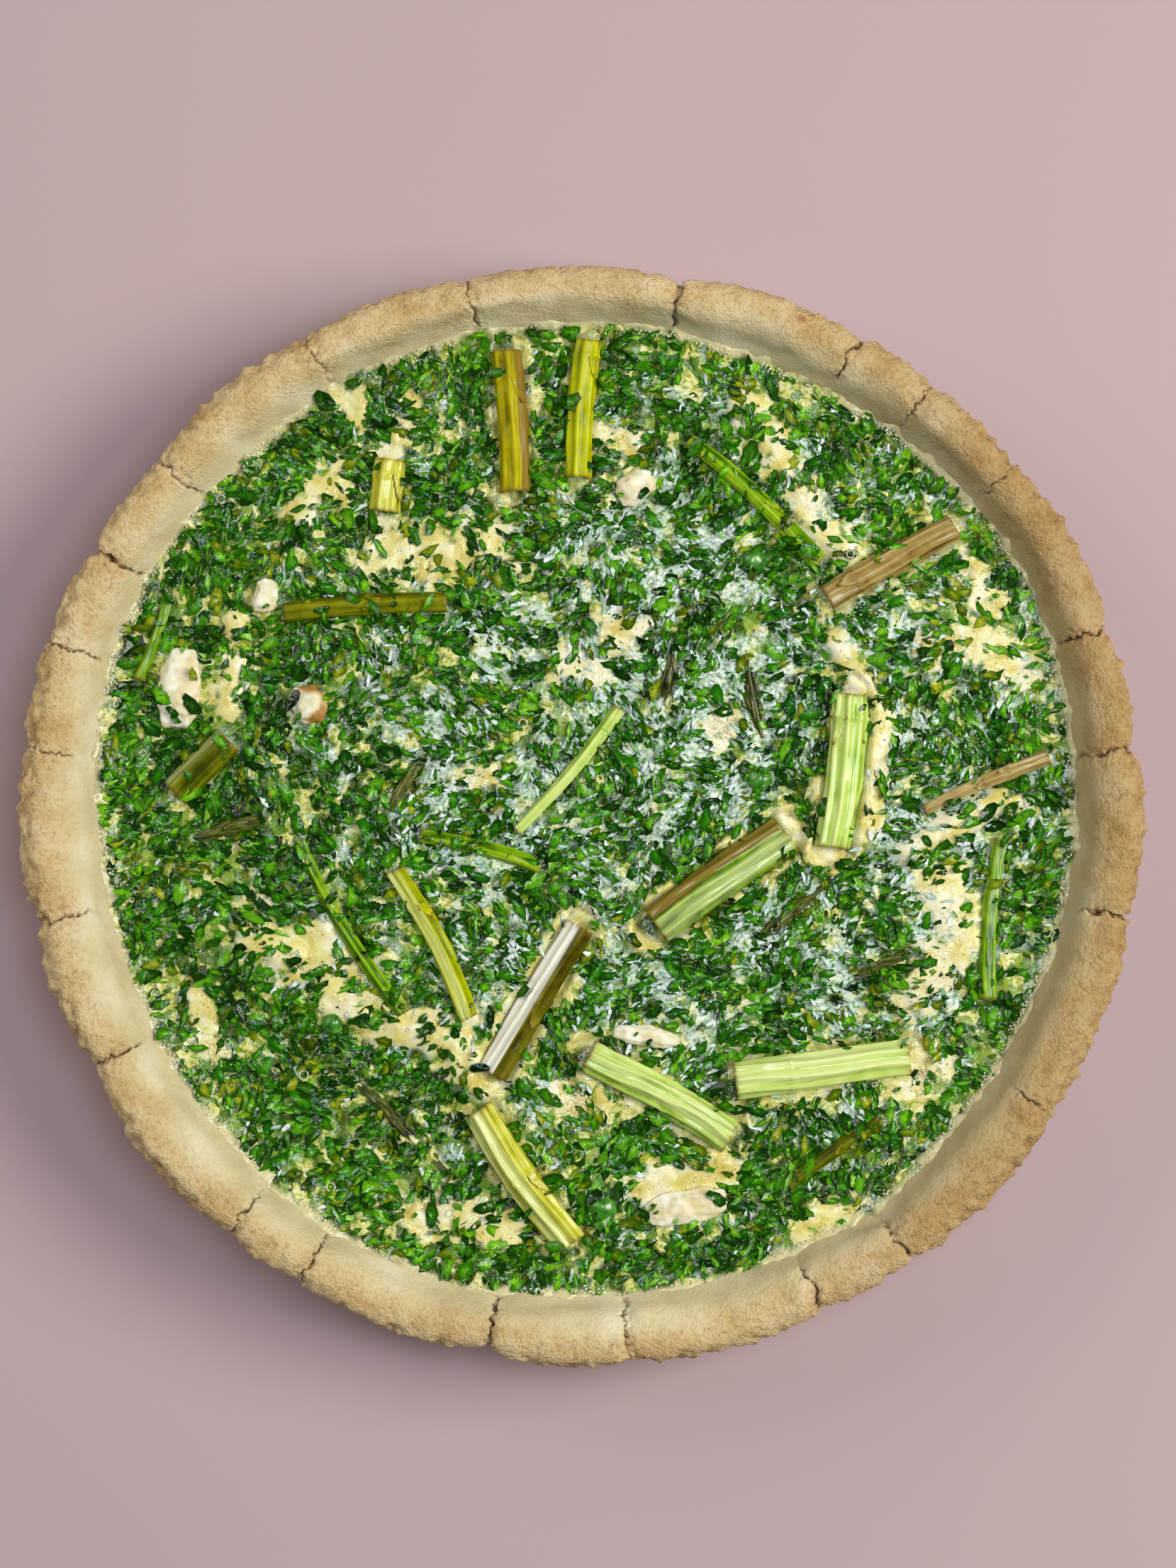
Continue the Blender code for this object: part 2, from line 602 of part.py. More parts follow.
def apply_boolean(target, collection, operation, solver):
    """Joins the collection's shapes to the target, or cuts them from it, then removes them."""
    step = target.modifiers.new(operation, "BOOLEAN")
    step.operation = operation
    step.operand_type = "COLLECTION"
    step.collection = collection
    step.solver = solver
    graph = bpy.context.evaluated_depsgraph_get()
    result = bpy.data.meshes.new_from_object(target.evaluated_get(graph))
    target.modifiers.clear()
    target.data = result
    for helper in list(collection.objects):
        bpy.data.objects.remove(helper)
    bpy.data.collections.remove(collection)


def keep_largest_body(target):
    """Drops loose scraps and fills sealed hollows, which are bodies of their own in the mesh."""
    shape = bmesh.new()
    shape.from_mesh(target.data)
    waiting = set(shape.verts)
    bodies = []
    while waiting:
        front = [waiting.pop()]
        body = list(front)
        while front:
            reached = {edge.other_vert(vert) for vert in front for edge in vert.link_edges} & waiting
            waiting -= reached
            body += reached
            front = list(reached)
        bodies.append(body)
    bodies.sort(key=len)
    for scrap in bodies[:-1]:
        bmesh.ops.delete(shape, geom=scrap, context="VERTS")
    shape.to_mesh(target.data)
    shape.free()


def new_collection(name):
    made = bpy.data.collections.new(name)
    bpy.context.scene.collection.children.link(made)
    return made


def build_filling(pieces):
    """The filling with its larger herb leaves fused on and a bed cut for each piece."""
    filling = build_filling_core()
    flakes = new_collection("flakes")
    build_flakes(flakes)
    apply_boolean(filling, flakes, "UNION", "MANIFOLD")
    beds = new_collection("beds")
    for name, finish, shape in pieces:
        add_object("bed_" + name, shape(GAP), finish, beds)
    apply_boolean(filling, beds, "DIFFERENCE", "MANIFOLD")
    keep_largest_body(filling)
    filling.data.materials.clear()
    filling.data.materials.append(material("filling"))
    return filling


def main():
    for old in list(bpy.data.objects):
        bpy.data.objects.remove(old)
    pieces = set_pieces()
    build_crust()
    build_filling(pieces)
    for name, finish, shape in pieces:
        add_object(name, shape(), finish)


main()
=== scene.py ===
"""Asparagus and herb quiche, dressed: crumbly pastry, set custard full of wet chopped herbs, and the
pieces of asparagus, cheese and pea that lie in it. Metres, +Z up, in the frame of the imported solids.
"""

import math
import random
from collections import namedtuple

import bmesh
import bpy
import numpy as np
from mathutils import Matrix, Vector, noise
from mathutils.bvhtree import BVHTree


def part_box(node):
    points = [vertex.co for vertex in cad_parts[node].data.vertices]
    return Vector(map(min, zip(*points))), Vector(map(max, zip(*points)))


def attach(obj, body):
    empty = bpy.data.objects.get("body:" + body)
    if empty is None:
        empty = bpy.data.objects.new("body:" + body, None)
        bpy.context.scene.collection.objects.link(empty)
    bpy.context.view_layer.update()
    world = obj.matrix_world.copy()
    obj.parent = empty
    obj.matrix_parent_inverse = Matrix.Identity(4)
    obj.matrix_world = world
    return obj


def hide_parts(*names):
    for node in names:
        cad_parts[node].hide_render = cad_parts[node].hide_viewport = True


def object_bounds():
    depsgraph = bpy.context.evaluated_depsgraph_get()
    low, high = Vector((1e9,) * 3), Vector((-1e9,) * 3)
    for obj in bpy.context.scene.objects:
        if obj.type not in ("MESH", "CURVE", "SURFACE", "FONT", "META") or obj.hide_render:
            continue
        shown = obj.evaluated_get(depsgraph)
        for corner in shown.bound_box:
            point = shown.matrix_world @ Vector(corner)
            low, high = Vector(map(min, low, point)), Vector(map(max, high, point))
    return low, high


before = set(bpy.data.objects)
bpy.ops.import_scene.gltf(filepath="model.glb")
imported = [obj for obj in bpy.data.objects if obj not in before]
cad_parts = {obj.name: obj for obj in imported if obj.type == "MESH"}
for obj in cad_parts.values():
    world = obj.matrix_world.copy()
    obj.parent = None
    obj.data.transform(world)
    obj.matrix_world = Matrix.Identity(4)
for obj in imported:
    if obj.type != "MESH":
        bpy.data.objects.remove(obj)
cad_low, cad_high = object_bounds()

MM = 0.001
BODY = "root"

# The filling's surface, as in the solids
LEVEL = 28 * MM
SWELL_HEIGHT = 0.9 * MM
SWELL_SIZE = 38 * MM
MENISCUS = 1.2 * MM
MENISCUS_START = 0.94  # share of the wall's radius
FLOOR = 6.4 * MM
WALL_BITE = 0.7 * MM  # how far the custard has baked on to the pastry
WALL_LEAN = 0.6  # how far the wall runs outward for its height

# Stretches of plain custard between the herbs: middle line in mm, width in mm, height that it stands
# proud in mm, and how browned it is
Patch = namedtuple("Patch", "points width height brown")
PATCHES = [
    Patch([(-87, 49), (-89, 27)], 6, 1.3, 0.1),
    Patch([(-64, -47), (-46, -54), (-31, -56), (-28, -68)], 9, 1.8, 0.5),
    Patch([(63, 43), (68, 34), (75, 28), (72, 5), (70, -6)], 6, 2.0, 0.45),
    Patch([(81, -9), (105, 3)], 6, 1.6, 0.15),
    Patch([(39, 104), (48, 93), (58, 74), (64, 67)], 8, 1.4, 0.35),
    Patch([(90, -17), (94, -32), (84, -45)], 11, 0.9, 0.2),
    Patch([(-84, -31), (-74, -36)], 8, 1.6, 0.1),
    Patch([(-61, 104), (-57, 101)], 8, 0, 0.0),
    Patch([(-42, 103), (-48, 91)], 6, 0, 0.1),
    Patch([(-50, 66), (-36, 64), (-23, 67)], 12, 0, 0.6),
    Patch([(-79, -30), (-62, -36)], 14, 0, 0.1),
    Patch([(15, -93), (35, -91)], 10, 0, 0.2),
    Patch([(-42, -101), (-20, -103)], 9, 0, 0.2),
    Patch([(-6, -71), (4, -73)], 7, 0, 0.3),
    Patch([(93, 43), (107, 38)], 12, 0, 0.3),
    Patch([(6, 47), (11, 45)], 9, 0, 0.2),
    Patch([(-5, 37), (0, 36)], 9, 0, 0.3),
    Patch([(34, 22), (36, 21)], 7, 0, 0.1),
    Patch([(-28, 10), (-26, 10)], 7, 0, 0.3),
    Patch([(80, -67), (90, -62)], 10, 0, 0.3),
    Patch([(-98, -45), (-92, -58)], 7, 0, 0.0),
    Patch([(-70, 78), (-62, 82)], 8, 0, 0.0),
    Patch([(96, 62), (103, 52)], 7, 0, 0.1),
    Patch([(4, 97), (12, 92)], 6, 0, 0.0),
    Patch([(56, -104), (66, -98)], 6, 0, 0.1),
]

# How each piece of asparagus is dressed: colour finish, number of ribs and their depth in mm, bud
# scales as (share along, side in degrees from the top), and the sides of a cut face, of a pale flank
# and of a browned flank
Dress = namedtuple("Dress", "finish ribs depth buds cut pale tan", defaults=(None, None, None))
ASPARAGUS = {
    "spear_top_left": Dress("olive", 7, 0.6, [(0.2, 45)], tan=75),
    "spear_top_middle": Dress("yellow_green", 7, 0.55, [(0.12, 50)]),
    "spear_upper_short": Dress("yellow", 6, 0.6, [(0.3, 60)]),
    "spear_upper_right": Dress("green", 5, 0.22, [(0.55, 45)]),
    "spear_right_roasted": Dress("roasted", 8, 0.5, [(0.75, -20)]),
    "spear_left": Dress("dark_olive", 5, 0.3, [(0.5, 20)]),
    "spear_left_short": Dress("dark_olive", 5, 0.3, [], pale=-80),
    "spear_centre_thin": Dress("pale_green", 4, 0.2, []),
    "spear_right_thick": Dress("pale_green", 8, 0.9, [(0.15, -50)]),
    "spear_middle_thick": Dress("green", 8, 1.2, [], pale=35, tan=-75),
    "spear_centre_left": Dress("yellow_green", 6, 0.5, [(0.25, 40)], pale=-30),
    "spear_left_long": Dress("green", 5, 0.3, [(0.35, 30)]),
    "spear_centre_split": Dress("brown_olive", 7, 0.6, [(0.5, 40)], cut=-48),
    "spear_lower_right": Dress("pale_green", 8, 0.8, [(0.33, 160)], pale=25),
    "spear_lower_middle": Dress("pale_green", 8, 0.8, [(0.55, 150)], pale=10),
    "spear_lower_left": Dress("yellow", 8, 0.8, [(0.5, 60)], pale=-35),
    "spear_far_right": Dress("green", 5, 0.3, []),
    "spear_right_thin": Dress("roasted", 6, 0.35, [(0.5, 20), (0.3, -30)]),
    "spear_low_right_thin": Dress("dark_olive", 4, 0.2, [(0.4, 20)]),
    "spear_sunk": Dress("green", 4, 0.25, [(0.35, 20), (0.75, -20)]),
    "leaf_left": Dress("green", 2, 0.1, []),
}
TIP_FINISH = "charred"

# Depth of the custard's trench wall beside the thick pieces, in mm
TRENCHES = {
    "spear_middle_thick": 1.7,
    "spear_right_thick": 1.2,
    "spear_lower_right": 0.7,
    "spear_lower_middle": 0.8,
    "spear_centre_split": 0.9,
    "spear_lower_left": 0.6,
    "spear_right_roasted": 0.7,
    "spear_top_left": 0.45,
    "spear_top_middle": 0.45,
}


def linear(code):
    """An sRGB hex colour as linear red, green, blue and alpha."""
    srgb = [int(code[i : i + 2], 16) / 255 for i in (0, 2, 4)]
    return (*[c / 12.92 if c <= 0.04045 else ((c + 0.055) / 1.055) ** 2.4 for c in srgb], 1)


def smooth(share):
    """0 to 1 with eased ends."""
    share = np.clip(share, 0, 1)
    return share * share * (3 - 2 * share)


SHUFFLE = np.random.RandomState(4).permutation(256)
SLOPES = np.random.RandomState(5).normal(size=(256, 3))
SLOPES /= np.linalg.norm(SLOPES, axis=1)[:, None]


def waves(points, size, seed=0):
    """Smooth noise at each of the points, about -1 to 1, whose bumps are of that size."""
    scaled = points / size + seed * 17.37
    cell = np.floor(scaled).astype(int)
    within = scaled - cell
    ease = within**3 * (within * (within * 6 - 15) + 10)
    total = np.zeros(len(points))
    for corner in np.ndindex(2, 2, 2):
        at = (cell + corner) & 255
        pick = SHUFFLE[(SHUFFLE[(SHUFFLE[at[:, 0]] + at[:, 1]) & 255] + at[:, 2]) & 255]
        rise = (SLOPES[pick] * (within - corner)).sum(1)
        total += rise * np.prod(np.where(corner, ease, 1 - ease), axis=1)
    return total * 1.7


def flat(points):
    """The points with their height left out."""
    return np.column_stack([points[:, 0], points[:, 1], np.zeros(len(points))])


def headings(turn):
    """Level unit vectors, one for each turn from +X."""
    return np.column_stack([np.cos(turn), np.sin(turn), np.zeros(len(turn))])


def path_distance(points, path):
    """Distance from each point to a run of straight stretches, in the plane."""
    nearest = np.full(len(points), np.inf)
    for a, b in zip(path, path[1:]):
        along = b - a
        share = np.clip((points - a) @ along / (along @ along), 0, 1)
        nearest = np.minimum(nearest, np.linalg.norm(points - a - share[:, None] * along, axis=1))
    return nearest


def copy_of(name):
    """A merged copy of a solid's mesh as a bmesh."""
    shape = bmesh.new()
    shape.from_mesh(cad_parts[name].data)
    bmesh.ops.remove_doubles(shape, verts=shape.verts, dist=0.01 * MM)
    return shape


def places_of(shape):
    return np.array([v.co[:] for v in shape.verts])


def pushed_out(shape, push):
    """Moves each vertex along its normal by its push in mm."""
    normals = np.array([v.normal[:] for v in shape.verts])
    move_to(shape, places_of(shape) + normals * push[:, None] * MM)


def move_to(shape, places):
    for vert, place in zip(shape.verts, places):
        vert.co = place


def set_layers(shape, **layers):
    """Keeps a number, or a vector, for each vertex under each name."""
    for name, values in layers.items():
        kinds = shape.verts.layers
        store = kinds.float if np.ndim(values) == 1 else kinds.float_vector
        layer = store.get(name) or store.new(name)
        for vert, value in zip(shape.verts, values):
            vert[layer] = value


def mesh_from(name, shape):
    """Turns a bmesh into a mesh."""
    mesh = bpy.data.meshes.new(name)
    shape.to_mesh(mesh)
    shape.free()
    return mesh


def add_object(name, data):
    """Puts an object with that data into the scene."""
    made = bpy.data.objects.new(name, data)
    bpy.context.scene.collection.objects.link(made)
    return made


def piece_from(name, shape, material, node=None):
    """Makes the bmesh a smooth-shaded piece of the quiche, in place of a solid if one is named."""
    return dress(name, mesh_from(name, shape), material, node)


def dress(name, mesh, material, node=None, rounded_off=True):
    """Links a mesh as a piece of the quiche, in place of a solid if one is named."""
    if rounded_off:
        mesh.shade_smooth()
    mesh.materials.append(material)
    piece = add_object(name, mesh)
    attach(piece, BODY)
    if node:
        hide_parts(node)
    return piece


def rounded(shape, levels):
    """The shape with a Subdivision Surface worked in."""
    mesh = mesh_from("rounding", shape)
    helper = add_object("rounding", mesh)
    step = helper.modifiers.new("round", "SUBSURF")
    step.levels = step.render_levels = levels
    graph = bpy.context.evaluated_depsgraph_get()
    result = bpy.data.meshes.new_from_object(helper.evaluated_get(graph))
    finer = bmesh.new()
    finer.from_mesh(result)
    bpy.data.objects.remove(helper)
    for used in (mesh, result):
        bpy.data.meshes.remove(used)
    return finer


# Materials


def plug(tree, node, inputs):
    """Sets each socket to a value, or links it to a socket or to the result of a node."""
    for key, value in inputs.items():
        if isinstance(value, bpy.types.Node):
            value = next(output for output in value.outputs if output.enabled)
        if isinstance(value, bpy.types.NodeSocket):
            tree.links.new(value, node.inputs[key])
        else:
            node.inputs[key].default_value = value


def add_node(tree, kind, settings=None, inputs=None):
    """Adds a shader node with its settings and what goes into its sockets."""
    made = tree.nodes.new("ShaderNode" + kind)
    for name, value in (settings or {}).items():
        if name == "stops":
            ramp = made.color_ramp.elements
            while len(ramp) < len(value):
                ramp.new(0.5)
            for element, (position, code) in zip(ramp, value):
                element.position = position
                element.color = linear(code)
        else:
            setattr(made, name, value)
    plug(tree, made, inputs or {})
    return made


def new_material(name, settings, *layers):
    """A material with its tree, its shader with constant values, and the layers that it reads."""
    made = bpy.data.materials.new(name)
    made.use_nodes = True
    tree = made.node_tree
    shader = tree.nodes["Principled BSDF"]
    plug(tree, shader, settings)
    read = [add_node(tree, "Attribute", {"attribute_name": layer}).outputs["Fac"] for layer in layers]
    return made, tree, shader, read


def grains(size_mm):
    """Noise Texture scale, in Object coordinates, that gives grains of that size."""
    return 1 / (size_mm * MM)


# Baked shortcrust: matt and dry, with butter-brown mottling, floury pale patches where the inside was
# pressed smooth, and painted shade in its breaks and creases
def shortcrust():
    made, tree, shader, (inside, hollow, crevice, darker) = new_material(
        "baked shortcrust pastry",
        {"Roughness": 0.85, "Specular IOR Level": 0.25, "Subsurface Weight": 0.06,
         "Subsurface Scale": 0.002, "Subsurface Radius": (1.0, 0.6, 0.35)},
        "inside", "hollow", "crevice", "darker",
    )
    place = add_node(tree, "TexCoord").outputs["Object"]
    mottle, grain, fine = [
        add_node(tree, "TexNoise", inputs={"Vector": place, "Scale": grains(size), "Detail": detail})
        for size, detail in ((13, 4), (1.0, 5), (0.55, 3))
    ]
    outer, inner, crumb = [
        add_node(tree, "ValToRGB", {"stops": stops}, {"Fac": pattern})
        for pattern, stops in (
            (mottle, [(0.32, "cdae78"), (0.46, "d8bf8c"), (0.58, "e0ca9b"), (0.74, "e8d8b0")]),
            (mottle, [(0.32, "cbbc90"), (0.5, "d6ca9f"), (0.7, "dfd8b6")]),
            (grain, [(0.28, "d4c4a4"), (0.40, "efe6d4"), (0.52, "ffffff"), (0.75, "fffaf0")]),
        )
    ]
    grainy = add_node(tree, "MapRange", inputs={"Value": inside, 1: 0.0, 2: 1.0, 3: 0.75, 4: 0.25})
    spots = add_node(tree, "TexVoronoi", inputs={"Vector": place, "Scale": grains(24), "Randomness": 1.0})
    rust = add_node(tree, "MapRange", inputs={"Value": spots, 1: 0.03, 2: 0.07, 3: 0.55, 4: 0.0})
    colour = outer
    for blend, share, over in (
        ("MIX", inside, inner),
        ("MULTIPLY", grainy, crumb),
        # painted shade in the carved creases
        ("MULTIPLY", crevice, linear("ceb084")),
        ("MIX", rust, linear("9c5a26")),
        ("MULTIPLY", darker, linear("dcd2c4")),
        # painted shade in the cracks and hairline breaks
        ("MIX", hollow, linear("5c3a1c")),
    ):
        coat = {"data_type": "RGBA", "blend_type": blend}
        colour = add_node(tree, "Mix", coat, {"Factor": share, 6: colour, 7: over})
    both = add_node(tree, "Math", {"operation": "ADD"}, {0: fine, 1: grain})
    sandy = add_node(tree, "Math", {"operation": "MULTIPLY"}, {0: both, 1: grainy})
    rough = add_node(tree, "Bump", inputs={"Strength": 0.9, "Distance": 0.9 * MM, "Height": sandy})
    plug(tree, shader, {"Base Color": colour, "Normal": rough})
    return made


# Set egg custard: pale and waxy, lit through a little, wet on top, browned on its folds, with pores. Painted
# sheen stands in for light reflected off its wet skin; painted shade darkens its pores and the gaps among
# thick herbs
def set_custard():
    made, tree, shader, (plain, brown, film, leafy, sheen_share) = new_material(
        "set egg custard",
        {"Roughness": 0.5, "Specular IOR Level": 0.05, "Subsurface Weight": 0.15,
         "Subsurface Scale": 0.002, "Subsurface Radius": (1.0, 0.97, 0.55),
         "Coat Weight": 0.8, "Coat Roughness": 0.08},
        "plain", "brown", "film", "leafy", "milky",
    )
    place = add_node(tree, "TexCoord").outputs["Object"]
    mottle, specks, skin = [
        add_node(tree, "TexNoise", inputs={"Vector": place, "Scale": grains(size), "Detail": 4})
        for size in (5, 1.2, 1.4)
    ]
    sunk = add_node(tree, "TexVoronoi", inputs={"Vector": place, "Scale": grains(2.6), "Randomness": 1.0})
    pick = add_node(tree, "SeparateColor", inputs={"Color": sunk.outputs["Color"]})
    pores = add_node(tree, "TexVoronoi", inputs={"Vector": place, "Scale": grains(1.5)})
    leaf, thick, spots, pore = [
        add_node(tree, "MapRange", inputs={"Value": value, 1: low, 2: high, 3: first, 4: last})
        for value, low, high, first, last in (
            (pick.outputs[0], 0.42, 0.5, 0.0, 0.85),
            (leafy, 0.45, 0.8, 0.0, 0.9),
            (mottle, 0.42, 0.6, 0.1, 1.2),
            (pores, 0.06, 0.18, 1.0, 0.0),
        )
    ]
    bare, tinted, deep, shaded, sheen_colour = [
        add_node(tree, "ValToRGB", {"stops": stops}, {"Fac": pattern})
        for pattern, stops in (
            (mottle, [(0.34, "cfbf62"), (0.44, "ddd27c"), (0.54, "e6e09c"), (0.66, "f2efcc")]),
            (specks, [(0.34, "7c9426"), (0.43, "b4ba52"), (0.53, "d6d27c"), (0.7, "ece6b4")]),
            (pick.outputs[1], [(0.0, "1c5404"), (0.6, "4a8410"), (1.0, "88a432")]),
            (specks, [(0.36, "0a2600"), (0.5, "1e4a00"), (0.64, "567c12")]),
            # painted sheen: blue-white, for light reflected off the wet egg skin
            (specks, [(0.34, "4d7c34"), (0.42, "9dc09a"), (0.5, "cfe4d8"), (0.66, "eef8f4")]),
        )
    ]
    half_sheen = add_node(tree, "Math", {"operation": "MULTIPLY"}, {0: sheen_share, 1: 0.7})
    scorch = add_node(tree, "Math", {"operation": "MULTIPLY"}, {0: brown, 1: spots})
    # plain custard paled under the painted sheen
    paler = add_node(
        tree, "Mix", {"data_type": "RGBA"}, {"Factor": half_sheen, 6: bare, 7: linear("e6e3c6")}
    )
    # From below: leaves under the egg's skin, herbs and painted shade in the gaps where they lie thick,
    # painted sheen for light reflected off the wet egg skin, plain custard paled under that sheen, the dried
    # film along the wall, toasted spots, and painted shade in the pores
    colour = tinted
    for blend, share, over in (
        ("MIX", leaf, deep),
        # herbs lower down and painted shade in the gaps where the herbs lie thick
        ("MIX", thick, shaded),
        ("MIX", half_sheen, sheen_colour),
        ("MIX", plain, paler),
        ("MIX", film, linear("cfc796")),
        ("MIX", scorch, linear("c6a866")),
        # painted shade in the pores
        ("MULTIPLY", pore, linear("bdb084")),
    ):
        coat = {"data_type": "RGBA", "blend_type": blend}
        colour = add_node(tree, "Mix", coat, {"Factor": share, 6: colour, 7: over})
    height = add_node(tree, "Math", {"operation": "SUBTRACT"}, {0: skin, 1: pore})
    wet = add_node(tree, "Bump", inputs={"Strength": 0.6, "Distance": 0.5 * MM, "Height": height})
    plug(tree, shader, {"Base Color": colour, "Normal": wet})
    add_wet_coat(tree, shader, place)
    return made


# Chopped parsley and chives, wilted and wet with egg: saturated green, darker at the edge with painted
# shade, a glassy coat
def wet_herb(name, dark, middle, light):
    made, tree, shader, (tone,) = new_material(
        name,
        {"Roughness": 0.5, "Specular IOR Level": 0.0, "Coat Weight": 0.7, "Coat Roughness": 0.05,
         "Subsurface Weight": 0.05, "Subsurface Scale": 0.001, "Subsurface Radius": (0.4, 1.0, 0.1)},
        "tone",
    )
    place = add_node(tree, "TexCoord").outputs["Object"]
    veins = add_node(tree, "TexNoise", inputs={"Vector": place, "Scale": grains(0.9), "Detail": 3})
    leaf = add_node(tree, "ValToRGB", {"stops": [(0.05, dark), (0.5, middle), (0.95, light)]}, {"Fac": tone})
    shade = add_node(tree, "ValToRGB", {"stops": [(0.35, "8c8c8c"), (0.6, "ffffff")]}, {"Fac": veins})
    coat = {"data_type": "RGBA", "blend_type": "MULTIPLY"}
    veined = add_node(tree, "Mix", coat, {"Factor": 0.5, 6: leaf, 7: shade})
    crinkle = add_node(tree, "Bump", inputs={"Strength": 0.7, "Distance": 0.4 * MM, "Height": veins})
    plug(tree, shader, {"Base Color": veined, "Normal": crinkle})
    add_wet_coat(tree, shader, place)
    return made


def add_wet_coat(tree, shader, place):
    """Ripples the coat alone, so that it glints in small spots."""
    ripple = add_node(tree, "TexNoise", inputs={"Vector": place, "Scale": grains(1.5), "Detail": 3})
    rippled = add_node(tree, "Bump", inputs={"Strength": 1.0, "Distance": 0.3 * MM, "Height": ripple})
    plug(tree, shader, {"Coat Normal": rippled})


# Colours of the asparagus, how glossy it is, and its bud scales' colours
Skin = namedtuple("Skin", "dark main light gloss scale scale_tip", defaults=(0.6, "a08a34", "6c5018"))
SKINS = {
    "olive": Skin("665f00", "a09600", "beb400", 0.15),
    "dark_olive": Skin("383e00", "5c6400", "8a8c10", 0.3),
    "yellow": Skin("8a8c08", "bebe2c", "dcda66"),
    "yellow_green": Skin("748400", "a2a800", "c6cc0c", 0.2),
    "green": Skin("345c00", "6c9a00", "a4c820"),
    "pale_green": Skin("86aa30", "b8d45e", "d8e88c"),
    "roasted": Skin("5c4010", "9a8040", "beac74"),
    "brown_olive": Skin("3a3200", "5c5800", "7e7a14", 0.3),
    "charred": Skin("161a02", "34400a", "747c34", 0.5, "5e5a26", "2e2408"),
}


# Baked asparagus: waxy skin with fibres that run lengthwise, paler where cut, brown papery bud scales,
# painted light and shade on its facets and a painted highlight along its ribs
def asparagus_skin(finish):
    skin = SKINS[finish]
    made, tree, shader, (bud, cut, ridge, facet, pale, singe) = new_material(
        "asparagus skin " + finish.replace("_", " "),
        {"Roughness": 0.5, "Specular IOR Level": 0.03, "Coat Weight": skin.gloss, "Coat Roughness": 0.09,
         "Subsurface Weight": 0.1, "Subsurface Scale": 0.002, "Subsurface Radius": (0.7, 1.0, 0.25)},
        "bud", "cut", "ridge", "facet", "pale", "singe",
    )
    # The grain layer is in millimetres across, up and along; fibres are drawn out thirty times
    grain = add_node(tree, "Attribute", {"attribute_name": "grain"}).outputs["Vector"]
    fibres = add_node(tree, "Mapping", inputs={"Vector": grain, "Scale": (1.0, 1.0, 0.03)})
    streaks = add_node(tree, "TexNoise", inputs={"Vector": fibres, "Scale": 1.0, "Detail": 3})
    blotch = add_node(tree, "TexNoise", inputs={"Vector": grain, "Scale": 0.22, "Detail": 3})
    both = add_node(tree, "Mix", {"data_type": "FLOAT"}, {"Factor": 0.5, 2: streaks, 3: blotch})
    # Each facet is painted lighter or darker, standing in for how the facets catch the light, and the ribs
    # between them carry a painted highlight
    shade = add_node(tree, "Math", {"operation": "MULTIPLY_ADD"}, {0: facet, 1: 0.2, 2: both})
    lit = add_node(tree, "Math", {"operation": "MULTIPLY_ADD"}, {0: ridge, 1: 0.16, 2: shade})
    streaky = add_node(tree, "MapRange", inputs={"Value": streaks, 1: 0.35, 2: 0.65, 3: 0.15, 4: 0.75})
    paler = add_node(tree, "Math", {"operation": "MULTIPLY"}, {0: pale, 1: streaky})
    scaly = add_node(tree, "MapRange", inputs={"Value": bud, 1: 0.02, 2: 0.15, 3: 0.0, 4: 1.0})
    colour, flesh, papery = [
        add_node(tree, "ValToRGB", {"stops": stops}, {"Fac": pattern})
        for pattern, stops in (
            (lit, [(0.45, skin.dark), (0.6, skin.main), (0.84, skin.light)]),
            (streaks, [(0.35, "e8e9cc"), (0.6, "fffdf0")]),
            (bud, [(0.2, skin.main), (0.45, skin.light), (0.75, skin.scale), (1.0, skin.scale_tip)]),
        )
    ]
    for share, over in (
        (paler, linear("d9e39a")),
        (cut, flesh),
        (scaly, papery),
        (singe, linear("86662a")),
    ):
        colour = add_node(tree, "Mix", {"data_type": "RGBA"}, {"Factor": share, 6: colour, 7: over})
    ribbed = add_node(tree, "Bump", inputs={"Strength": 0.5, "Distance": 0.35 * MM, "Height": streaks})
    plug(tree, shader, {"Base Color": colour, "Normal": ribbed})
    return made


# Soft white cheese: chalky and fibrous, toasted where it stands proud
def soft_cheese():
    made, tree, shader, (brown,) = new_material(
        "soft white cheese",
        {"Roughness": 0.5, "Specular IOR Level": 0.4, "Subsurface Weight": 0.3,
         "Subsurface Scale": 0.003, "Subsurface Radius": (1.0, 0.9, 0.6)},
        "brown",
    )
    place = add_node(tree, "TexCoord").outputs["Object"]
    curd = add_node(tree, "TexNoise", inputs={"Vector": place, "Scale": grains(2.2), "Detail": 4})
    white, toast = [
        add_node(tree, "ValToRGB", {"stops": stops}, {"Fac": pattern})
        for pattern, stops in (
            (curd, [(0.35, "dcd6a8"), (0.6, "f1efdb")]),
            (brown, [(0.2, "e6d9a4"), (0.6, "d6b86c"), (1.0, "ac7c3c")]),
        )
    ]
    toasted = add_node(tree, "Mix", {"data_type": "RGBA"}, {"Factor": brown, 6: white, 7: toast})
    crumbly = add_node(tree, "Bump", inputs={"Strength": 0.5, "Distance": 0.4 * MM, "Height": curd})
    plug(tree, shader, {"Base Color": toasted, "Normal": crumbly})
    return made


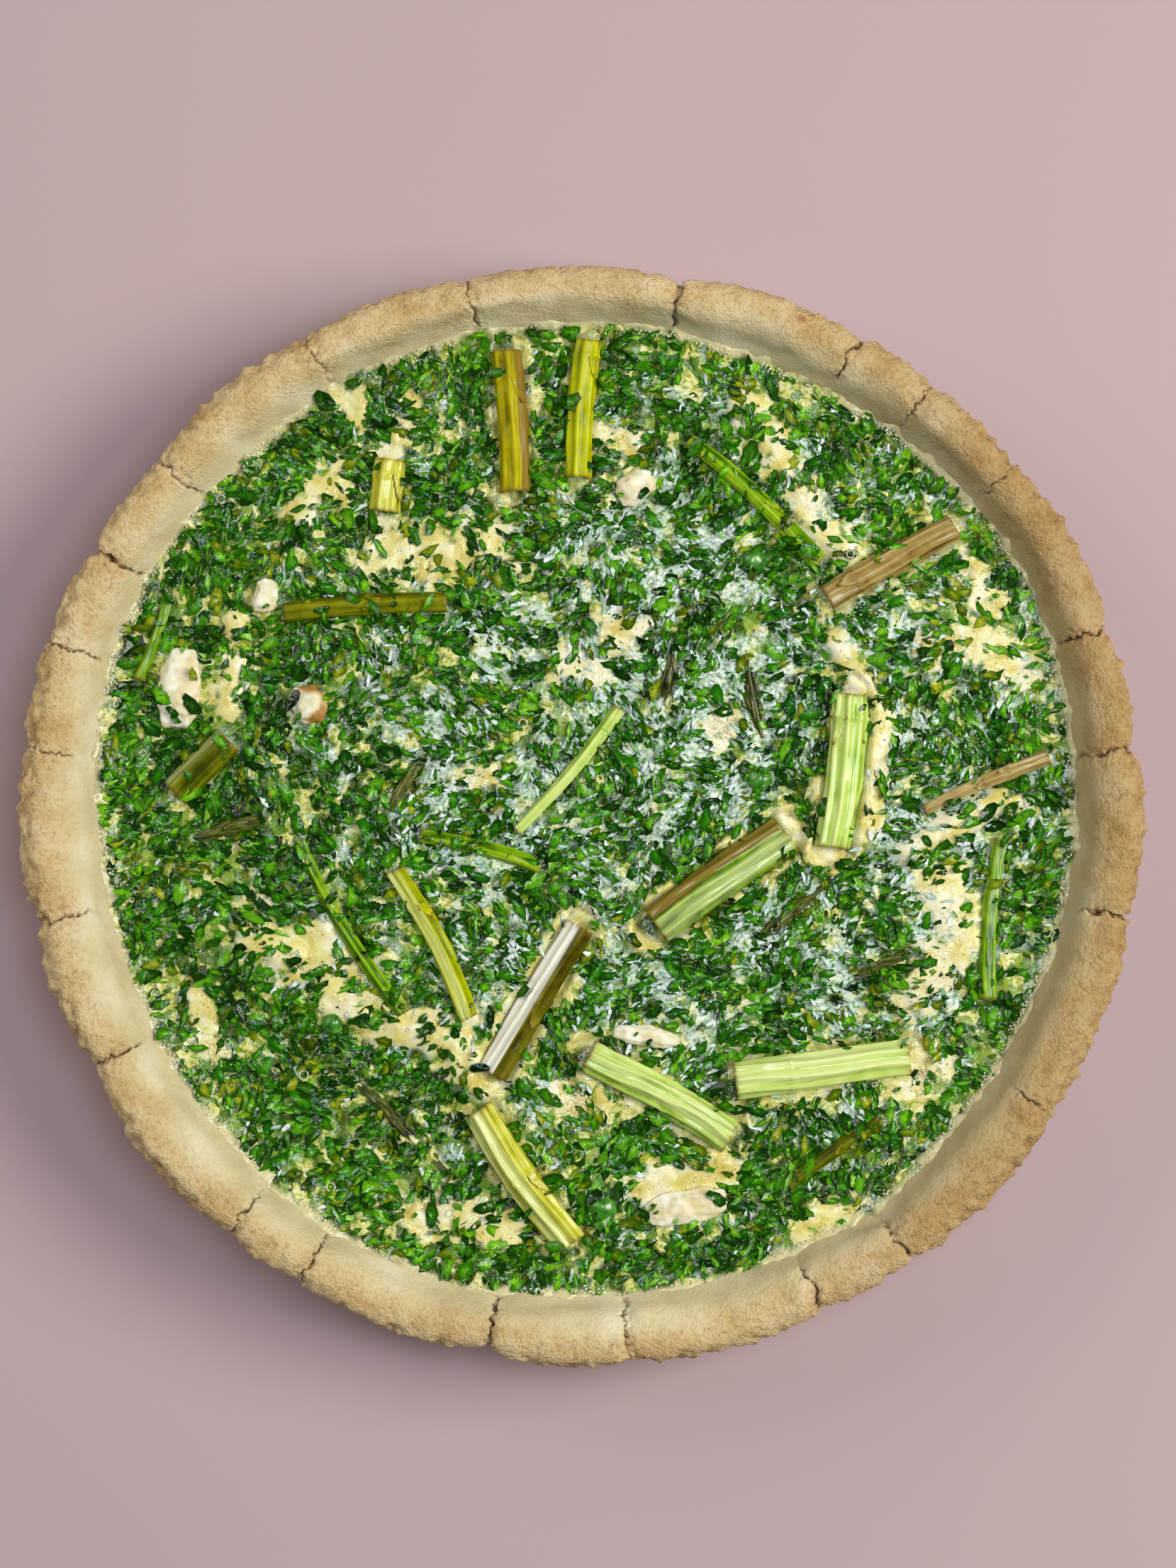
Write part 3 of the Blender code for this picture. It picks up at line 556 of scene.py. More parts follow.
# Garden pea: taut waxy skin, with paler freckles and small dimples
def pea_skin():
    made, tree, shader, _ = new_material(
        "garden pea skin",
        {"Roughness": 0.3, "Coat Weight": 0.5, "Coat Roughness": 0.15, "Subsurface Weight": 0.15,
         "Subsurface Scale": 0.002, "Subsurface Radius": (0.4, 1.0, 0.2)},
    )
    place = add_node(tree, "TexCoord").outputs["Object"]
    freckles = add_node(tree, "TexNoise", inputs={"Vector": place, "Scale": grains(2.4), "Detail": 4})
    greens = [(0.3, "1d5c0c"), (0.55, "3f8a1e"), (0.75, "8fb85a")]
    colour = add_node(tree, "ValToRGB", {"stops": greens}, {"Fac": freckles})
    dimpled = add_node(tree, "Bump", inputs={"Strength": 0.3, "Distance": 0.3 * MM, "Height": freckles})
    plug(tree, shader, {"Base Color": colour, "Normal": dimpled})
    return made


def two_toned(name, settings, size, stops):
    """A plain material that is mottled between two colours, with grains of that size in mm."""
    made, tree, shader, _ = new_material(name, settings)
    place = add_node(tree, "TexCoord").outputs["Object"]
    mottle = add_node(tree, "TexNoise", inputs={"Vector": place, "Scale": grains(size)})
    plug(tree, shader, {"Base Color": add_node(tree, "ValToRGB", {"stops": stops}, {"Fac": mottle})})
    return made


# Egg foam that dried on the surface: cream white, a little shiny
def egg_foam():
    return two_toned(
        "dried egg foam",
        {"Roughness": 0.35, "Coat Weight": 0.4, "Coat Roughness": 0.2, "Subsurface Weight": 0.25,
         "Subsurface Scale": 0.001, "Subsurface Radius": (1.0, 0.9, 0.6)},
        3, [(0.35, "cfc994"), (0.6, "ebe7c8")],
    )


# Cracked black pepper: dry, dark brown to black
def black_pepper():
    return two_toned("cracked black pepper", {"Roughness": 0.6}, 0.6, [(0.4, "14100c"), (0.7, "3c2c1c")])


# The pastry case

RIM_FOOT = 24 * MM  # above this the pastry is seen, and gets its finest crumb
OUTER_WALL = 118 * MM
RIM_CELL = 0.8 * MM
WALL_CELL = 2.4 * MM
CRACK_CELL = 0.4 * MM
CRACK_REACH = 2.6 * MM  # to each side of a crack, where the cells are finer
INNER_SLOPE = 132 * MM  # inside this radius the rim slopes down smoothly to the filling
OUTER_BAND = 134.5 * MM  # outside it the rim is at its roughest
BOX_MARGIN = 0.02 * MM  # kept inside the box of the solids

# Each crack across the rim: its angle in degrees and its depth in mm, as in the solid
CRACKS = [
    (6.6, 2.2), (19.5, 2.0), (38.7, 1.1), (50.8, 1.3), (59.9, 1.8), (79.6, 3.4), (102.4, 2.0),
    (120.4, 1.5), (140.3, 1.9), (151.8, 2.4), (162.3, 1.8), (173.5, 1.1), (191.4, 2.6), (207.3, 2.4),
    (229.7, 1.3), (238.6, 2.0), (259.8, 2.6), (274.8, 2.6), (295.6, 2.0), (306.2, 2.4), (327.1, 1.2),
    (349.1, 2.4),
]


def crack_distance(points, degrees):
    """Distance round the rim from each point to a crack's straight line, in metres."""
    turned = np.degrees(np.arctan2(points[:, 1], points[:, 0])) - degrees
    return np.radians((turned + 180) % 360 - 180) * np.hypot(points[:, 0], points[:, 1])


def crack_shares(points):
    """How far in each point lies in a crack, 0 to 1, how near it is to one, and the crack's depth."""
    radius = np.hypot(points[:, 0], points[:, 1])
    section = np.column_stack([radius, np.zeros(len(points)), points[:, 2]])
    inside, near, deep = np.zeros((3, len(points)))
    for number, (degrees, depth) in enumerate(CRACKS):
        zigzag = 0.95 * waves(section, 3.6 * MM, number) + 0.5 * waves(section, 1.3 * MM, number + 30)
        away = np.abs(crack_distance(points, degrees) / MM - zigzag)
        width = (0.16 + 0.1 * depth) * (0.4 + 1.2 * np.abs(waves(section, 2.8 * MM, number + 60)))
        inner_end = 124.5 + 2.5 * math.sin(7 * number) - depth
        fade = smooth((section[:, 0] / MM - inner_end) / 3)
        share = np.clip(1.25 - away / width, 0, 1) * fade
        inside = np.maximum(inside, share)
        near = np.maximum(near, np.exp(-((away / 1.7) ** 2)) * fade)
        deep = np.where(share > 0, depth * MM, deep)
    return inside, near, deep


def edge_run(edge):
    """An edge's middle, its radius from the axis, its length and how much of that runs round."""
    a, b = (v.co for v in edge.verts)
    middle = (a + b) / 2
    radius = math.hypot(middle.x, middle.y)
    tangent = Vector((-middle.y, middle.x, 0)) / radius
    return middle, radius, (b - a).length, abs((b - a).dot(tangent))


def refine_round(shape, low, high, cell):
    """Cuts the edges that run round the quiche between two heights, down to the cell's length."""
    groups = {}
    for edge in shape.edges:
        middle, radius, length, turned = edge_run(edge)
        cuts = round(turned / cell) - 1
        if low < middle.z < high and radius >= OUTER_WALL and turned > 0.7 * length and cuts > 0:
            groups.setdefault(cuts, []).append(edge)
    for cuts, edges in sorted(groups.items()):
        bmesh.ops.subdivide_edges(shape, edges=edges, cuts=cuts, use_grid_fill=True)


def refine_cracks(shape):
    """Cuts the rim's cells beside each crack down to its finer cell."""
    edges = list(shape.edges)
    ends = np.array([[v.co[:] for v in edge.verts] for edge in edges])
    middles = ends.mean(1)
    away = np.min([np.abs(crack_distance(middles, degrees)) for degrees, _ in CRACKS], axis=0)
    wanted = (
        (away < CRACK_REACH)
        & (np.linalg.norm(ends[:, 1] - ends[:, 0], axis=1) > 1.3 * CRACK_CELL)
        & (middles[:, 2] > RIM_FOOT)
        & (np.hypot(middles[:, 0], middles[:, 1]) > OUTER_WALL)
    )
    chosen = [edges[number] for number in np.flatnonzero(wanted)]
    bmesh.ops.subdivide_edges(shape, edges=chosen, cuts=1, use_grid_fill=True)


def refine_up(shape, low, cell):
    """Cuts the rim's edges that run up and over it, down to the cell's length."""
    edges = []
    for edge in shape.edges:
        middle, radius, length, turned = edge_run(edge)
        if middle.z > low and radius > OUTER_WALL and length > 1.35 * cell and turned < 0.5 * length:
            edges.append(edge)
    bmesh.ops.subdivide_edges(shape, edges=edges, cuts=1, use_grid_fill=True)


def build_pastry(material):
    """The case: the solid's own form rounded off, then crumbled, cobbled and split as pastry is."""
    shape = copy_of("crust")
    bmesh.ops.join_triangles(
        shape, faces=shape.faces, angle_face_threshold=math.radians(75),
        angle_shape_threshold=math.radians(120),
    )
    shape = rounded(shape, 2)
    refine_round(shape, RIM_FOOT, 1, RIM_CELL)
    refine_round(shape, 0, RIM_FOOT, WALL_CELL)
    refine_up(shape, RIM_FOOT, RIM_CELL)
    refine_cracks(shape)
    shape.normal_update()
    places = places_of(shape)
    normals = np.array([v.normal[:] for v in shape.verts])
    radius = np.hypot(places[:, 0], places[:, 1])
    height = places[:, 2]
    # 1 on the smooth inner slope, 0 on the rough outer band
    inside = smooth((INNER_SLOPE - radius + 2.2 * MM * waves(places, 9 * MM)) / (8 * MM))
    outermost = smooth((radius - OUTER_BAND + 1.5 * MM * waves(places, 7 * MM, 9)) / (4 * MM))
    seen = smooth((height - 8 * MM) / (10 * MM)) * smooth((radius - OUTER_WALL) / (2 * MM))
    crack, near, deep = crack_shares(places)
    creases = 1 - np.minimum(1, np.abs(waves(places, 4.6 * MM)) * 2.6)
    small_creases = 1 - np.minimum(1, np.abs(waves(places, 2.2 * MM, 3)) * 2.6)
    clods = waves(places, 3.2 * MM, 5)
    crumbs = waves(places, 1.25 * MM, 6)
    rough = (0.42 + 0.58 * outermost) * (1 - 0.85 * inside) * seen
    carved = 0.4 * creases * smooth(waves(places, 13 * MM, 7) + 0.3) + 0.18 * small_creases
    push = rough * (0.75 * clods + 0.55 * crumbs - 1.3 * carved - 0.25)
    push += outermost * seen * (0.75 * waves(places, 2.3 * MM, 15) + 0.4 * clods)
    push += seen * (0.4 * waves(places, 12 * MM, 8) + 0.24 * waves(places, 5 * MM, 10))
    push += 0.35 * near * seen * (crumbs + 0.6 * clods)
    # Hairline breaks where a slow noise crosses zero
    line = np.abs(waves(places, 8 * MM, 11) + 0.35 * waves(places, 2 * MM, 12))
    hair = np.clip(1 - line / 0.03, 0, 1) * smooth((waves(places, 16 * MM, 13) - 0.1) / 0.2)
    hair *= seen * (1 - 0.7 * inside)
    push -= 0.4 * hair
    push -= crack * seen * (0.7 + 0.3 * deep / MM)
    moved = places + normals * push[:, None] * MM
    moved = np.clip(moved, np.array(cad_low) + BOX_MARGIN, np.array(cad_high) - BOX_MARGIN)
    moved[:, 2] = np.where(height < BOX_MARGIN, height, moved[:, 2])
    move_to(shape, moved)
    darker = smooth((places[:, 0] / radius.clip(MM) + 0.15 * waves(places, 30 * MM, 14) - 0.1) / 0.8)
    # painted shade for the cracks, hairline breaks and carved creases
    set_layers(
        shape, inside=inside, darker=darker * seen, hollow=np.clip(crack * 1.1 + 0.4 * hair, 0, 1),
        crevice=np.clip(rough * (carved - 0.4 * clods - 0.3 * crumbs), 0, 1),
    )
    bmesh.ops.triangulate(shape, faces=[f for f in shape.faces if len(f.verts) > 4])
    return piece_from("pastry_case", shape, material, "crust")


# The pieces of asparagus, as lines that the custard and the herbs keep clear of

Line = namedtuple("Line", "name centres wide high axis")
RINGS = 4


def line_of(name):
    """Middle line and half-widths of a stretch of asparagus, read from its solid."""
    points = places_of(copy_of(name))
    centre = points.mean(0)
    axis = np.linalg.svd(points - centre)[2][0]
    if axis @ np.array([0.3, -1, 0]) < 0:
        axis = -axis
    rings = points[np.argsort((points - centre) @ axis)].reshape(RINGS, -1, 3)
    centres = rings.mean(1)
    across = np.array([-axis[1], axis[0], 0])
    around = rings - centres[:, None]
    wide = np.abs(around @ across).max(1)
    high = np.abs(around[:, :, 2]).max(1)
    return Line(name, centres, wide, high, axis)


def length_of(line):
    return np.linalg.norm(line.centres[-1] - line.centres[0])


def edge_distance(points, line):
    """Distance from each point to the side of a stretch of asparagus, seen from above."""
    return path_distance(points[:, :2], line.centres[:, :2]) - line.wide.max()


def lump_distance(points, name):
    low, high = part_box(name)
    middle = np.array((low + high) / 2)[:2]
    half = np.array((high - low) / 2)[:2]
    offset = (points[:, :2] - middle) / half
    return (np.linalg.norm(offset, axis=1) - 1) * half.min()


# The custard

GRID = 300
WALL_STEPS = 720
SLOPE_STEP = 0.8 * MM
FOOT_SHARE = 109.6 / 121.5  # the filling's radius at its underside, of that at its top, as in the solid


def wall_table():
    """Inner radius of the pastry case at the filling's level, all the way round."""
    tree = BVHTree.FromBMesh(copy_of("crust"))
    angles = np.linspace(-math.pi, math.pi, WALL_STEPS + 1)
    start = Vector((0, 0, LEVEL + MENISCUS / 2))
    hits = [tree.ray_cast(start, Vector((math.cos(a), math.sin(a), 0)))[3] for a in angles]
    return angles, np.array(hits)


WALL_ANGLES, WALL_RADII = wall_table()
LINES = [line_of(name) for name in sorted(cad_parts) if name.startswith(("spear", "tip", "leaf"))]
LUMPS = [name for name in sorted(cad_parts) if name.startswith(("cheese", "pea_"))]


def wall_radius(points):
    return np.interp(np.arctan2(points[:, 1], points[:, 0]), WALL_ANGLES, WALL_RADII)


def wall_share(points):
    """How far out each point lies, 1 at the wall."""
    return np.linalg.norm(points[:, :2], axis=1) / wall_radius(points)


def patch_shares(points):
    """Of each point: how plain the custard is, its added height, and how browned it is."""
    level = flat(points)
    plain, rise, brown = np.zeros((3, len(points)))
    ragged = 0.5 * waves(level, 5 * MM, 21) + 0.35 * waves(level, 2.2 * MM, 22)
    for patch in PATCHES:
        path = [np.array(p) * MM for p in patch.points]
        away = path_distance(points[:, :2], path) / (patch.width * MM)
        plain = np.maximum(plain, smooth((0.58 + ragged - away) / 0.14))
        rise = np.maximum(rise, patch.height * MM * smooth((0.75 - away) / 0.6))
        brown = np.maximum(brown, patch.brown * smooth((0.66 - away) / 0.4))
    for line in LINES:
        if line.name in TRENCHES:
            away = edge_distance(points, line) / MM - 3 * ragged
            beside = smooth((3.0 - away) / 1.2) * min(1, TRENCHES[line.name] / 1.2)
            beside *= smooth((waves(level, 9 * MM, 35) + 0.25) / 0.3)
            plain = np.maximum(plain, beside)
            brown = np.maximum(brown, 0.4 * beside)
    return plain, rise, brown


# Where the painted sheen lies, for light reflected off the wet egg skin: its middle and its reach
SHEEN_MIDDLE = (28, 2)  # mm
SHEEN_REACH = 84 * MM
SWIRL = math.radians(40)
SWIRL_SPREAD = 0.5  # how far a leaf turns from the swirl


def herb_cover(points):
    """How thick the chopped herbs lie at each point, 0 to 1, but for the plain patches."""
    level = flat(points)
    thick = 0.46 + 0.8 * waves(level, 11 * MM, 51) + 0.95 * waves(level, 4.2 * MM, 52)
    return smooth(thick / 0.6)


def milky(points):
    """How much painted sheen lies over the herbs, 0 to 1, standing in for light reflected off the wet egg
    skin: most round its middle.
    """
    level = flat(points)
    away = np.hypot(points[:, 0] - SHEEN_MIDDLE[0] * MM, points[:, 1] - SHEEN_MIDDLE[1] * MM)
    sheen_share = 0.66 - 0.5 * (away / SHEEN_REACH) ** 2
    sheen_share += 0.8 * waves(level, 14 * MM, 57) + 0.9 * waves(level, 4 * MM, 58)
    return smooth(sheen_share / 0.9)


def swirl(points):
    """The direction in which the leaves lie at each point, as stirred in and poured."""
    return SWIRL + 2.4 * waves(flat(points), 34 * MM, 71) + 1.2 * waves(flat(points), 9 * MM, 72)


def relief(points):
    """Height of the custard's surface at each of the points."""
    level = flat(points)
    swell = np.array([noise.noise(Vector((x, y, 0)) / SWELL_SIZE) for x, y in points[:, :2]])
    edge = wall_share(points)
    climb = MENISCUS * smooth((edge - MENISCUS_START) / (1 - MENISCUS_START))
    plain, rise, _ = patch_shares(points)
    lumpy = 0.75 * waves(level, 6.5 * MM, 31) + 0.45 * waves(level, 2.9 * MM, 32)
    height = LEVEL + SWELL_HEIGHT * swell + climb + rise + lumpy * (1 - 0.45 * plain) * MM
    ragged = 0.9 * waves(level, 5 * MM, 33)
    broken = 0.25 + 0.75 * smooth((waves(level, 9 * MM, 35) + 0.25) / 0.4)
    for line in LINES:
        away = edge_distance(points, line) / MM
        depth = TRENCHES.get(line.name, 0.4)
        lip = np.exp(-((away - 1.7 - ragged) ** 2) / 1.5) * broken
        groove = np.exp(-((away + 0.1) ** 2) / 0.25)
        height += (depth * lip - (0.3 + 0.5 * depth) * groove) * MM
    return height


def slope(points):
    """Heights and unit normals of the custard's surface."""
    here = relief(points)
    east = relief(points + np.array([SLOPE_STEP, 0, 0])) - here
    north = relief(points + np.array([0, SLOPE_STEP, 0])) - here
    normals = np.column_stack([-east / SLOPE_STEP, -north / SLOPE_STEP, np.ones(len(points))])
    return here, normals / np.linalg.norm(normals, axis=1)[:, None]


def disc_places(square):
    """Spreads a square grid from -1 to 1 over a disc of radius 1, row by row, without folds."""
    x, y = square[:, 0], square[:, 1]
    wide = np.abs(x) > np.abs(y)
    reach = np.where(wide, x, y)
    with np.errstate(divide="ignore", invalid="ignore"):
        turn = np.where(wide, math.pi / 4 * y / x, math.pi / 2 - math.pi / 4 * x / y)
    turn = np.nan_to_num(turn)
    return np.column_stack([reach * np.cos(turn), reach * np.sin(turn)])


PIT_COUNT = 260
PIT_RADII = (0.5, 1.7)  # mm
PIT_REACH = 118 * MM  # from the middle


def press_pits(points, heights):
    """Presses burst bubbles into the custard: a raised ring round a shallow pit."""
    draw = random.Random(12)
    for _ in range(PIT_COUNT):
        angle, far = draw.uniform(0, 2 * math.pi), PIT_REACH * math.sqrt(draw.random())
        middle = np.array([far * math.cos(angle), far * math.sin(angle)])
        radius = MM * (PIT_RADII[0] + (PIT_RADII[1] - PIT_RADII[0]) * draw.random() ** 2)
        near = np.where(np.abs(points[:, :2] - middle).max(1) < 2 * radius)[0]
        away = np.linalg.norm(points[near, :2] - middle, axis=1) / radius
        ring = 0.35 * np.exp(-((away - 1) ** 2) / 0.07) - 0.5 * smooth(1 - away)
        heights[near] += ring * radius


def build_custard(material):
    """The filling: a thick disc whose top carries folds, trenches, bubbles and browned patches."""
    shape = bmesh.new()
    bmesh.ops.create_grid(shape, x_segments=GRID, y_segments=GRID, size=1)
    disc = disc_places(places_of(shape))
    angles = np.column_stack([disc, np.zeros(len(disc))])
    radius = wall_radius(angles) + WALL_BITE
    points = angles * radius[:, None]
    heights = relief(points)
    press_pits(points, heights)
    edge = np.linalg.norm(disc, axis=1)
    film = film_share(points, edge)
    # The rim of the filling dries to an uneven film that climbs the pastry
    heights += film * (0.45 + 0.6 * waves(flat(points), 5 * MM, 41)) * MM
    uneven = 0.5 + 0.9 * waves(flat(points), 2.6 * MM, 45) + 0.4 * waves(flat(points), 1.2 * MM, 46)
    heights += uneven * MM * smooth((edge - 0.985) / 0.015)
    climbed = (heights - LEVEL - MENISCUS / 2).clip(0) * smooth((edge - 0.975) / 0.025)
    points[:, :2] *= 1 + (WALL_LEAN * climbed / radius.clip(MM))[:, None]
    plain, _, brown = patch_shares(points)
    crest = smooth((heights - LEVEL - 0.9 * MM) / (1.6 * MM))
    patchy = smooth((waves(flat(points), 3.5 * MM, 43) + 0.2) / 0.5)
    brown = brown * (0.15 + 0.5 * crest) * patchy
    points[:, 2] = heights
    move_to(shape, points)
    clear = np.ones(len(points))
    for line in LINES:
        if line.name in TRENCHES:
            clear *= smooth((edge_distance(points, line) - 3 * MM) / (4 * MM))
    # painted sheen, kept clear of the trenches beside the thick pieces
    sheen_share = milky(points) * clear
    set_layers(shape, plain=plain, leafy=herb_cover(points), milky=sheen_share, brown=brown, film=film)
    close_below(shape)
    return piece_from("custard_filling", shape, material, "filling")


def film_share(points, edge):
    """1 on the dried egg film along the wall, whose width wavers, and 0 past it."""
    level = flat(points)
    width = 0.014 + 0.01 * waves(level, 9 * MM, 44) + 0.008 * waves(level, 2.5 * MM, 47)
    return smooth((edge - 1 + width) / 0.006)


def close_below(shape):
    """Gives the custard's top its side, down to the floor of the case, and a flat underside."""
    rim = [e for e in shape.edges if e.is_boundary]
    for share, height in ((0.99, LEVEL - 2 * MM), (FOOT_SHARE, FLOOR)):
        made = bmesh.ops.extrude_edge_only(shape, edges=rim)["geom"]
        rim = [e for e in made if isinstance(e, bmesh.types.BMEdge) and e.is_boundary]
        for vert in {v for e in rim for v in e.verts}:
            outward = Vector((vert.co.x, vert.co.y)).normalized()
            radius = WALL_RADII.mean() * share if height == FLOOR else vert.co.xy.length * share
            vert.co = (outward.x * radius, outward.y * radius, height)
    bmesh.ops.holes_fill(shape, edges=rim)
    bmesh.ops.recalc_face_normals(shape, faces=shape.faces)


# Chopped herbs

# A torn bit of leaf, one unit long: its corners, width, thickness, how torn and how crumpled it is
Leaf = namedtuple("Leaf", "corners wide thick torn crown")
PARSLEY = Leaf((5, 6, 7), 0.5, 0.04, 0.4, 0.09)
STRIP = Leaf((4, 5), 0.26, 0.06, 0.25, 0.06)
TORN_LEAF = Leaf((9, 10), 0.5, 0.04, 0.3, 0.05)
# flecks of painted sheen, shaped like bits of leaf
SHEEN_FLECK = Leaf((6, 7), 0.34, 0.04, 0.45, 0.06)
TEMPLATES = 12
# Painted shade: a leaf is darker at its edge, where its edge casts a thin shadow, and lighter in its middle
EDGE_PAINTED_SHADE = -0.2  # how much darker a leaf is at its edge
MIDDLE_PAINTED_LIGHT = 0.3


def leaf_templates(leaf, seed):
    """A few torn bits of leaf: thin angular blades, crumpled, each with its painted shade at every vertex,
    darker at the edge.
    """
    draw = random.Random(seed)
    made = []
    for number in range(TEMPLATES):
        shape = bmesh.new()
        corners = leaf.corners[number % len(leaf.corners)]
        bmesh.ops.create_circle(shape, segments=corners, radius=0.5, cap_ends=True)
        for vert in shape.verts:
            vert.co.y *= leaf.wide
            vert.co *= 1 + draw.uniform(-leaf.torn, leaf.torn)
        bmesh.ops.poke(shape, faces=shape.faces)
        for vert in shape.verts:
            vert.co.z = draw.uniform(-leaf.crown, leaf.crown)
        bmesh.ops.solidify(shape, geom=shape.faces, thickness=leaf.thick)
        made.append(template(shape))
    return made


def template(shape):
    """Places, triangles and painted shade, darker at the edge, of a small shape that is repeated."""
    bmesh.ops.triangulate(shape, faces=shape.faces)
    bmesh.ops.recalc_face_normals(shape, faces=shape.faces)
    shape.verts.index_update()
    places = places_of(shape)
    faces = np.array([[v.index for v in f.verts] for f in shape.faces])
    shape.free()
    from_middle = np.linalg.norm(places[:, :2], axis=1)
    # painted shade: darker on the edge, lighter in the middle
    shade = np.where(from_middle < 0.12, MIDDLE_PAINTED_LIGHT, EDGE_PAINTED_SHADE)
    return places - places.mean(0), faces, shade


def free_of_pieces(points, margin):
    """True where nothing larger than a herb leaf lies within the margin."""
    free = np.ones(len(points), bool)
    for line in LINES:
        free &= edge_distance(points, line) > margin
    for name in LUMPS:
        free &= lump_distance(points, name) > margin
    return free


def scattered(name, templates, places, normals, sizes, tones, tilt, draw, material):
    """One joined mesh of copies, each turned roughly along the swirl, tilted a little and curled."""
    verts, faces, values = [], [], []
    start = 0
    which = draw.randint(0, len(templates), len(places))
    for index, (form, sides, shade) in enumerate(templates):
        chosen = np.where(which == index)[0]
        count = len(chosen)
        local = np.repeat(form[None], count, 0) * sizes[chosen, None, None]
        curl = draw.uniform(-0.6, 0.6, (count, 1)) / sizes[chosen, None]
        twist = draw.uniform(-0.7, 0.7, (count, 1)) / sizes[chosen, None]
        local[:, :, 2] += curl * local[:, :, 0] ** 2 + twist * local[:, :, 0] * local[:, :, 1]
        yaw = swirl(places[chosen]) + draw.normal(0, SWIRL_SPREAD, count)
        yaw += math.pi * draw.randint(0, 2, count)
        lean = normals[chosen] + draw.normal(0, tilt, (count, 3)) * np.array([1, 1, 0])
        up = lean / np.linalg.norm(lean, axis=1)[:, None]
        across = np.cross(up, headings(yaw))
        across /= np.linalg.norm(across, axis=1)[:, None]
        ahead = np.cross(across, up)
        turned = (
            local[:, :, :1] * ahead[:, None] + local[:, :, 1:2] * across[:, None]
            + local[:, :, 2:] * up[:, None]
        )
        verts.append((turned + places[chosen, None]).reshape(-1, 3))
        offsets = start + np.arange(count) * len(form)
        faces.append((sides[None] + offsets[:, None, None]).reshape(-1, 3))
        values.append((tones[chosen, None] + shade).ravel())
        start += count * len(form)
    mesh = bpy.data.meshes.new(name)
    mesh.from_pydata(np.concatenate(verts), [], np.concatenate(faces))
    tone = mesh.attributes.new("tone", "FLOAT", "POINT")
    tone.data.foreach_set("value", np.concatenate(values).astype(np.float32))
    return dress(name, mesh, material, rounded_off=False)


HERB_COUNT = 25000
HERB_SIZES = (1.8, 6.6)  # mm long
LARGE_COUNT = 900
SHEEN_FLECK_COUNT = 13500
WALL_GAP = 0.8 * MM

# Herbs as (name, share of all, leaf, seed, dark, middle and light colour)
HERBS = [
    ("parsley_dark", 0.4, PARSLEY, 61, "082000", "164c00", "448c06"),
    ("parsley_bright", 0.3, PARSLEY, 62, "123c00", "358400", "84cc1a"),
    ("parsley_wilted", 0.14, PARSLEY, 63, "263600", "5e7a00", "aeb824"),
    ("chives_chopped", 0.16, STRIP, 64, "083000", "2a8604", "98d23e"),
]


def strewn(count, draw):
    """Places over the filling, all at random."""
    turn = draw.uniform(-math.pi, math.pi, count)
    far = np.sqrt(draw.random_sample(count))
    points = headings(turn)
    return points * (far * (wall_radius(points) - WALL_GAP))[:, None]


def settle(points, lift):
    """Sets the points that many mm above the custard's surface, and gives its normals there."""
    heights, normals = slope(points)
    points[:, 2] = heights + lift * MM
    return normals


# Stretches that lie so deep that herbs cover a share of them
COVERED = {
    "spear_left_long": 0.3, "spear_sunk": 0.5, "spear_low_right_thin": 0.35, "spear_left": 0.16,
    "spear_centre_thin": 0.1, "spear_upper_right": 0.16, "spear_far_right": 0.1, "leaf_left": 0.2,
    "spear_left_short": 0.12,
}
TIP_COVER = 0.4
LUMP_COVER = 0.7
EDGE_COVER = 0.3
EDGE_REACH = 1.6 * MM


def over_pieces(points):
    """Where a point lies on a spear or lump: the height of its skin, and the share that herbs cover."""
    height, cover = np.zeros((2, len(points)))
    for line in LINES:
        share = COVERED.get(line.name, TIP_COVER if line.name.startswith("tip") else 0)
        away = path_distance(points[:, :2], line.centres[:, :2])
        on = away < line.wide.mean()
        along = (points - line.centres[0]) @ line.axis / length_of(line)
        middle = np.interp(along, np.linspace(0, 1, RINGS), line.centres[:, 2])
        round_off = np.sqrt(np.clip(1 - (away / line.wide.mean()) ** 2, 0, 1))
        height = np.where(on, middle + line.high.mean() * round_off, height)
        over_edge = EDGE_COVER * smooth(1 - (line.wide.mean() - away) / EDGE_REACH)
        cover = np.where(on, np.maximum(share, over_edge), cover)
    for name in LUMPS:
        away = lump_distance(points, name)
        over_edge = LUMP_COVER * smooth(1 + away / (2 * EDGE_REACH))
        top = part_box(name)[1].z
        on = away < 0
        height = np.where(on, LEVEL + (top - LEVEL) * smooth(-away / EDGE_REACH), height)
        cover = np.where(on, over_edge, cover)
    return height, cover


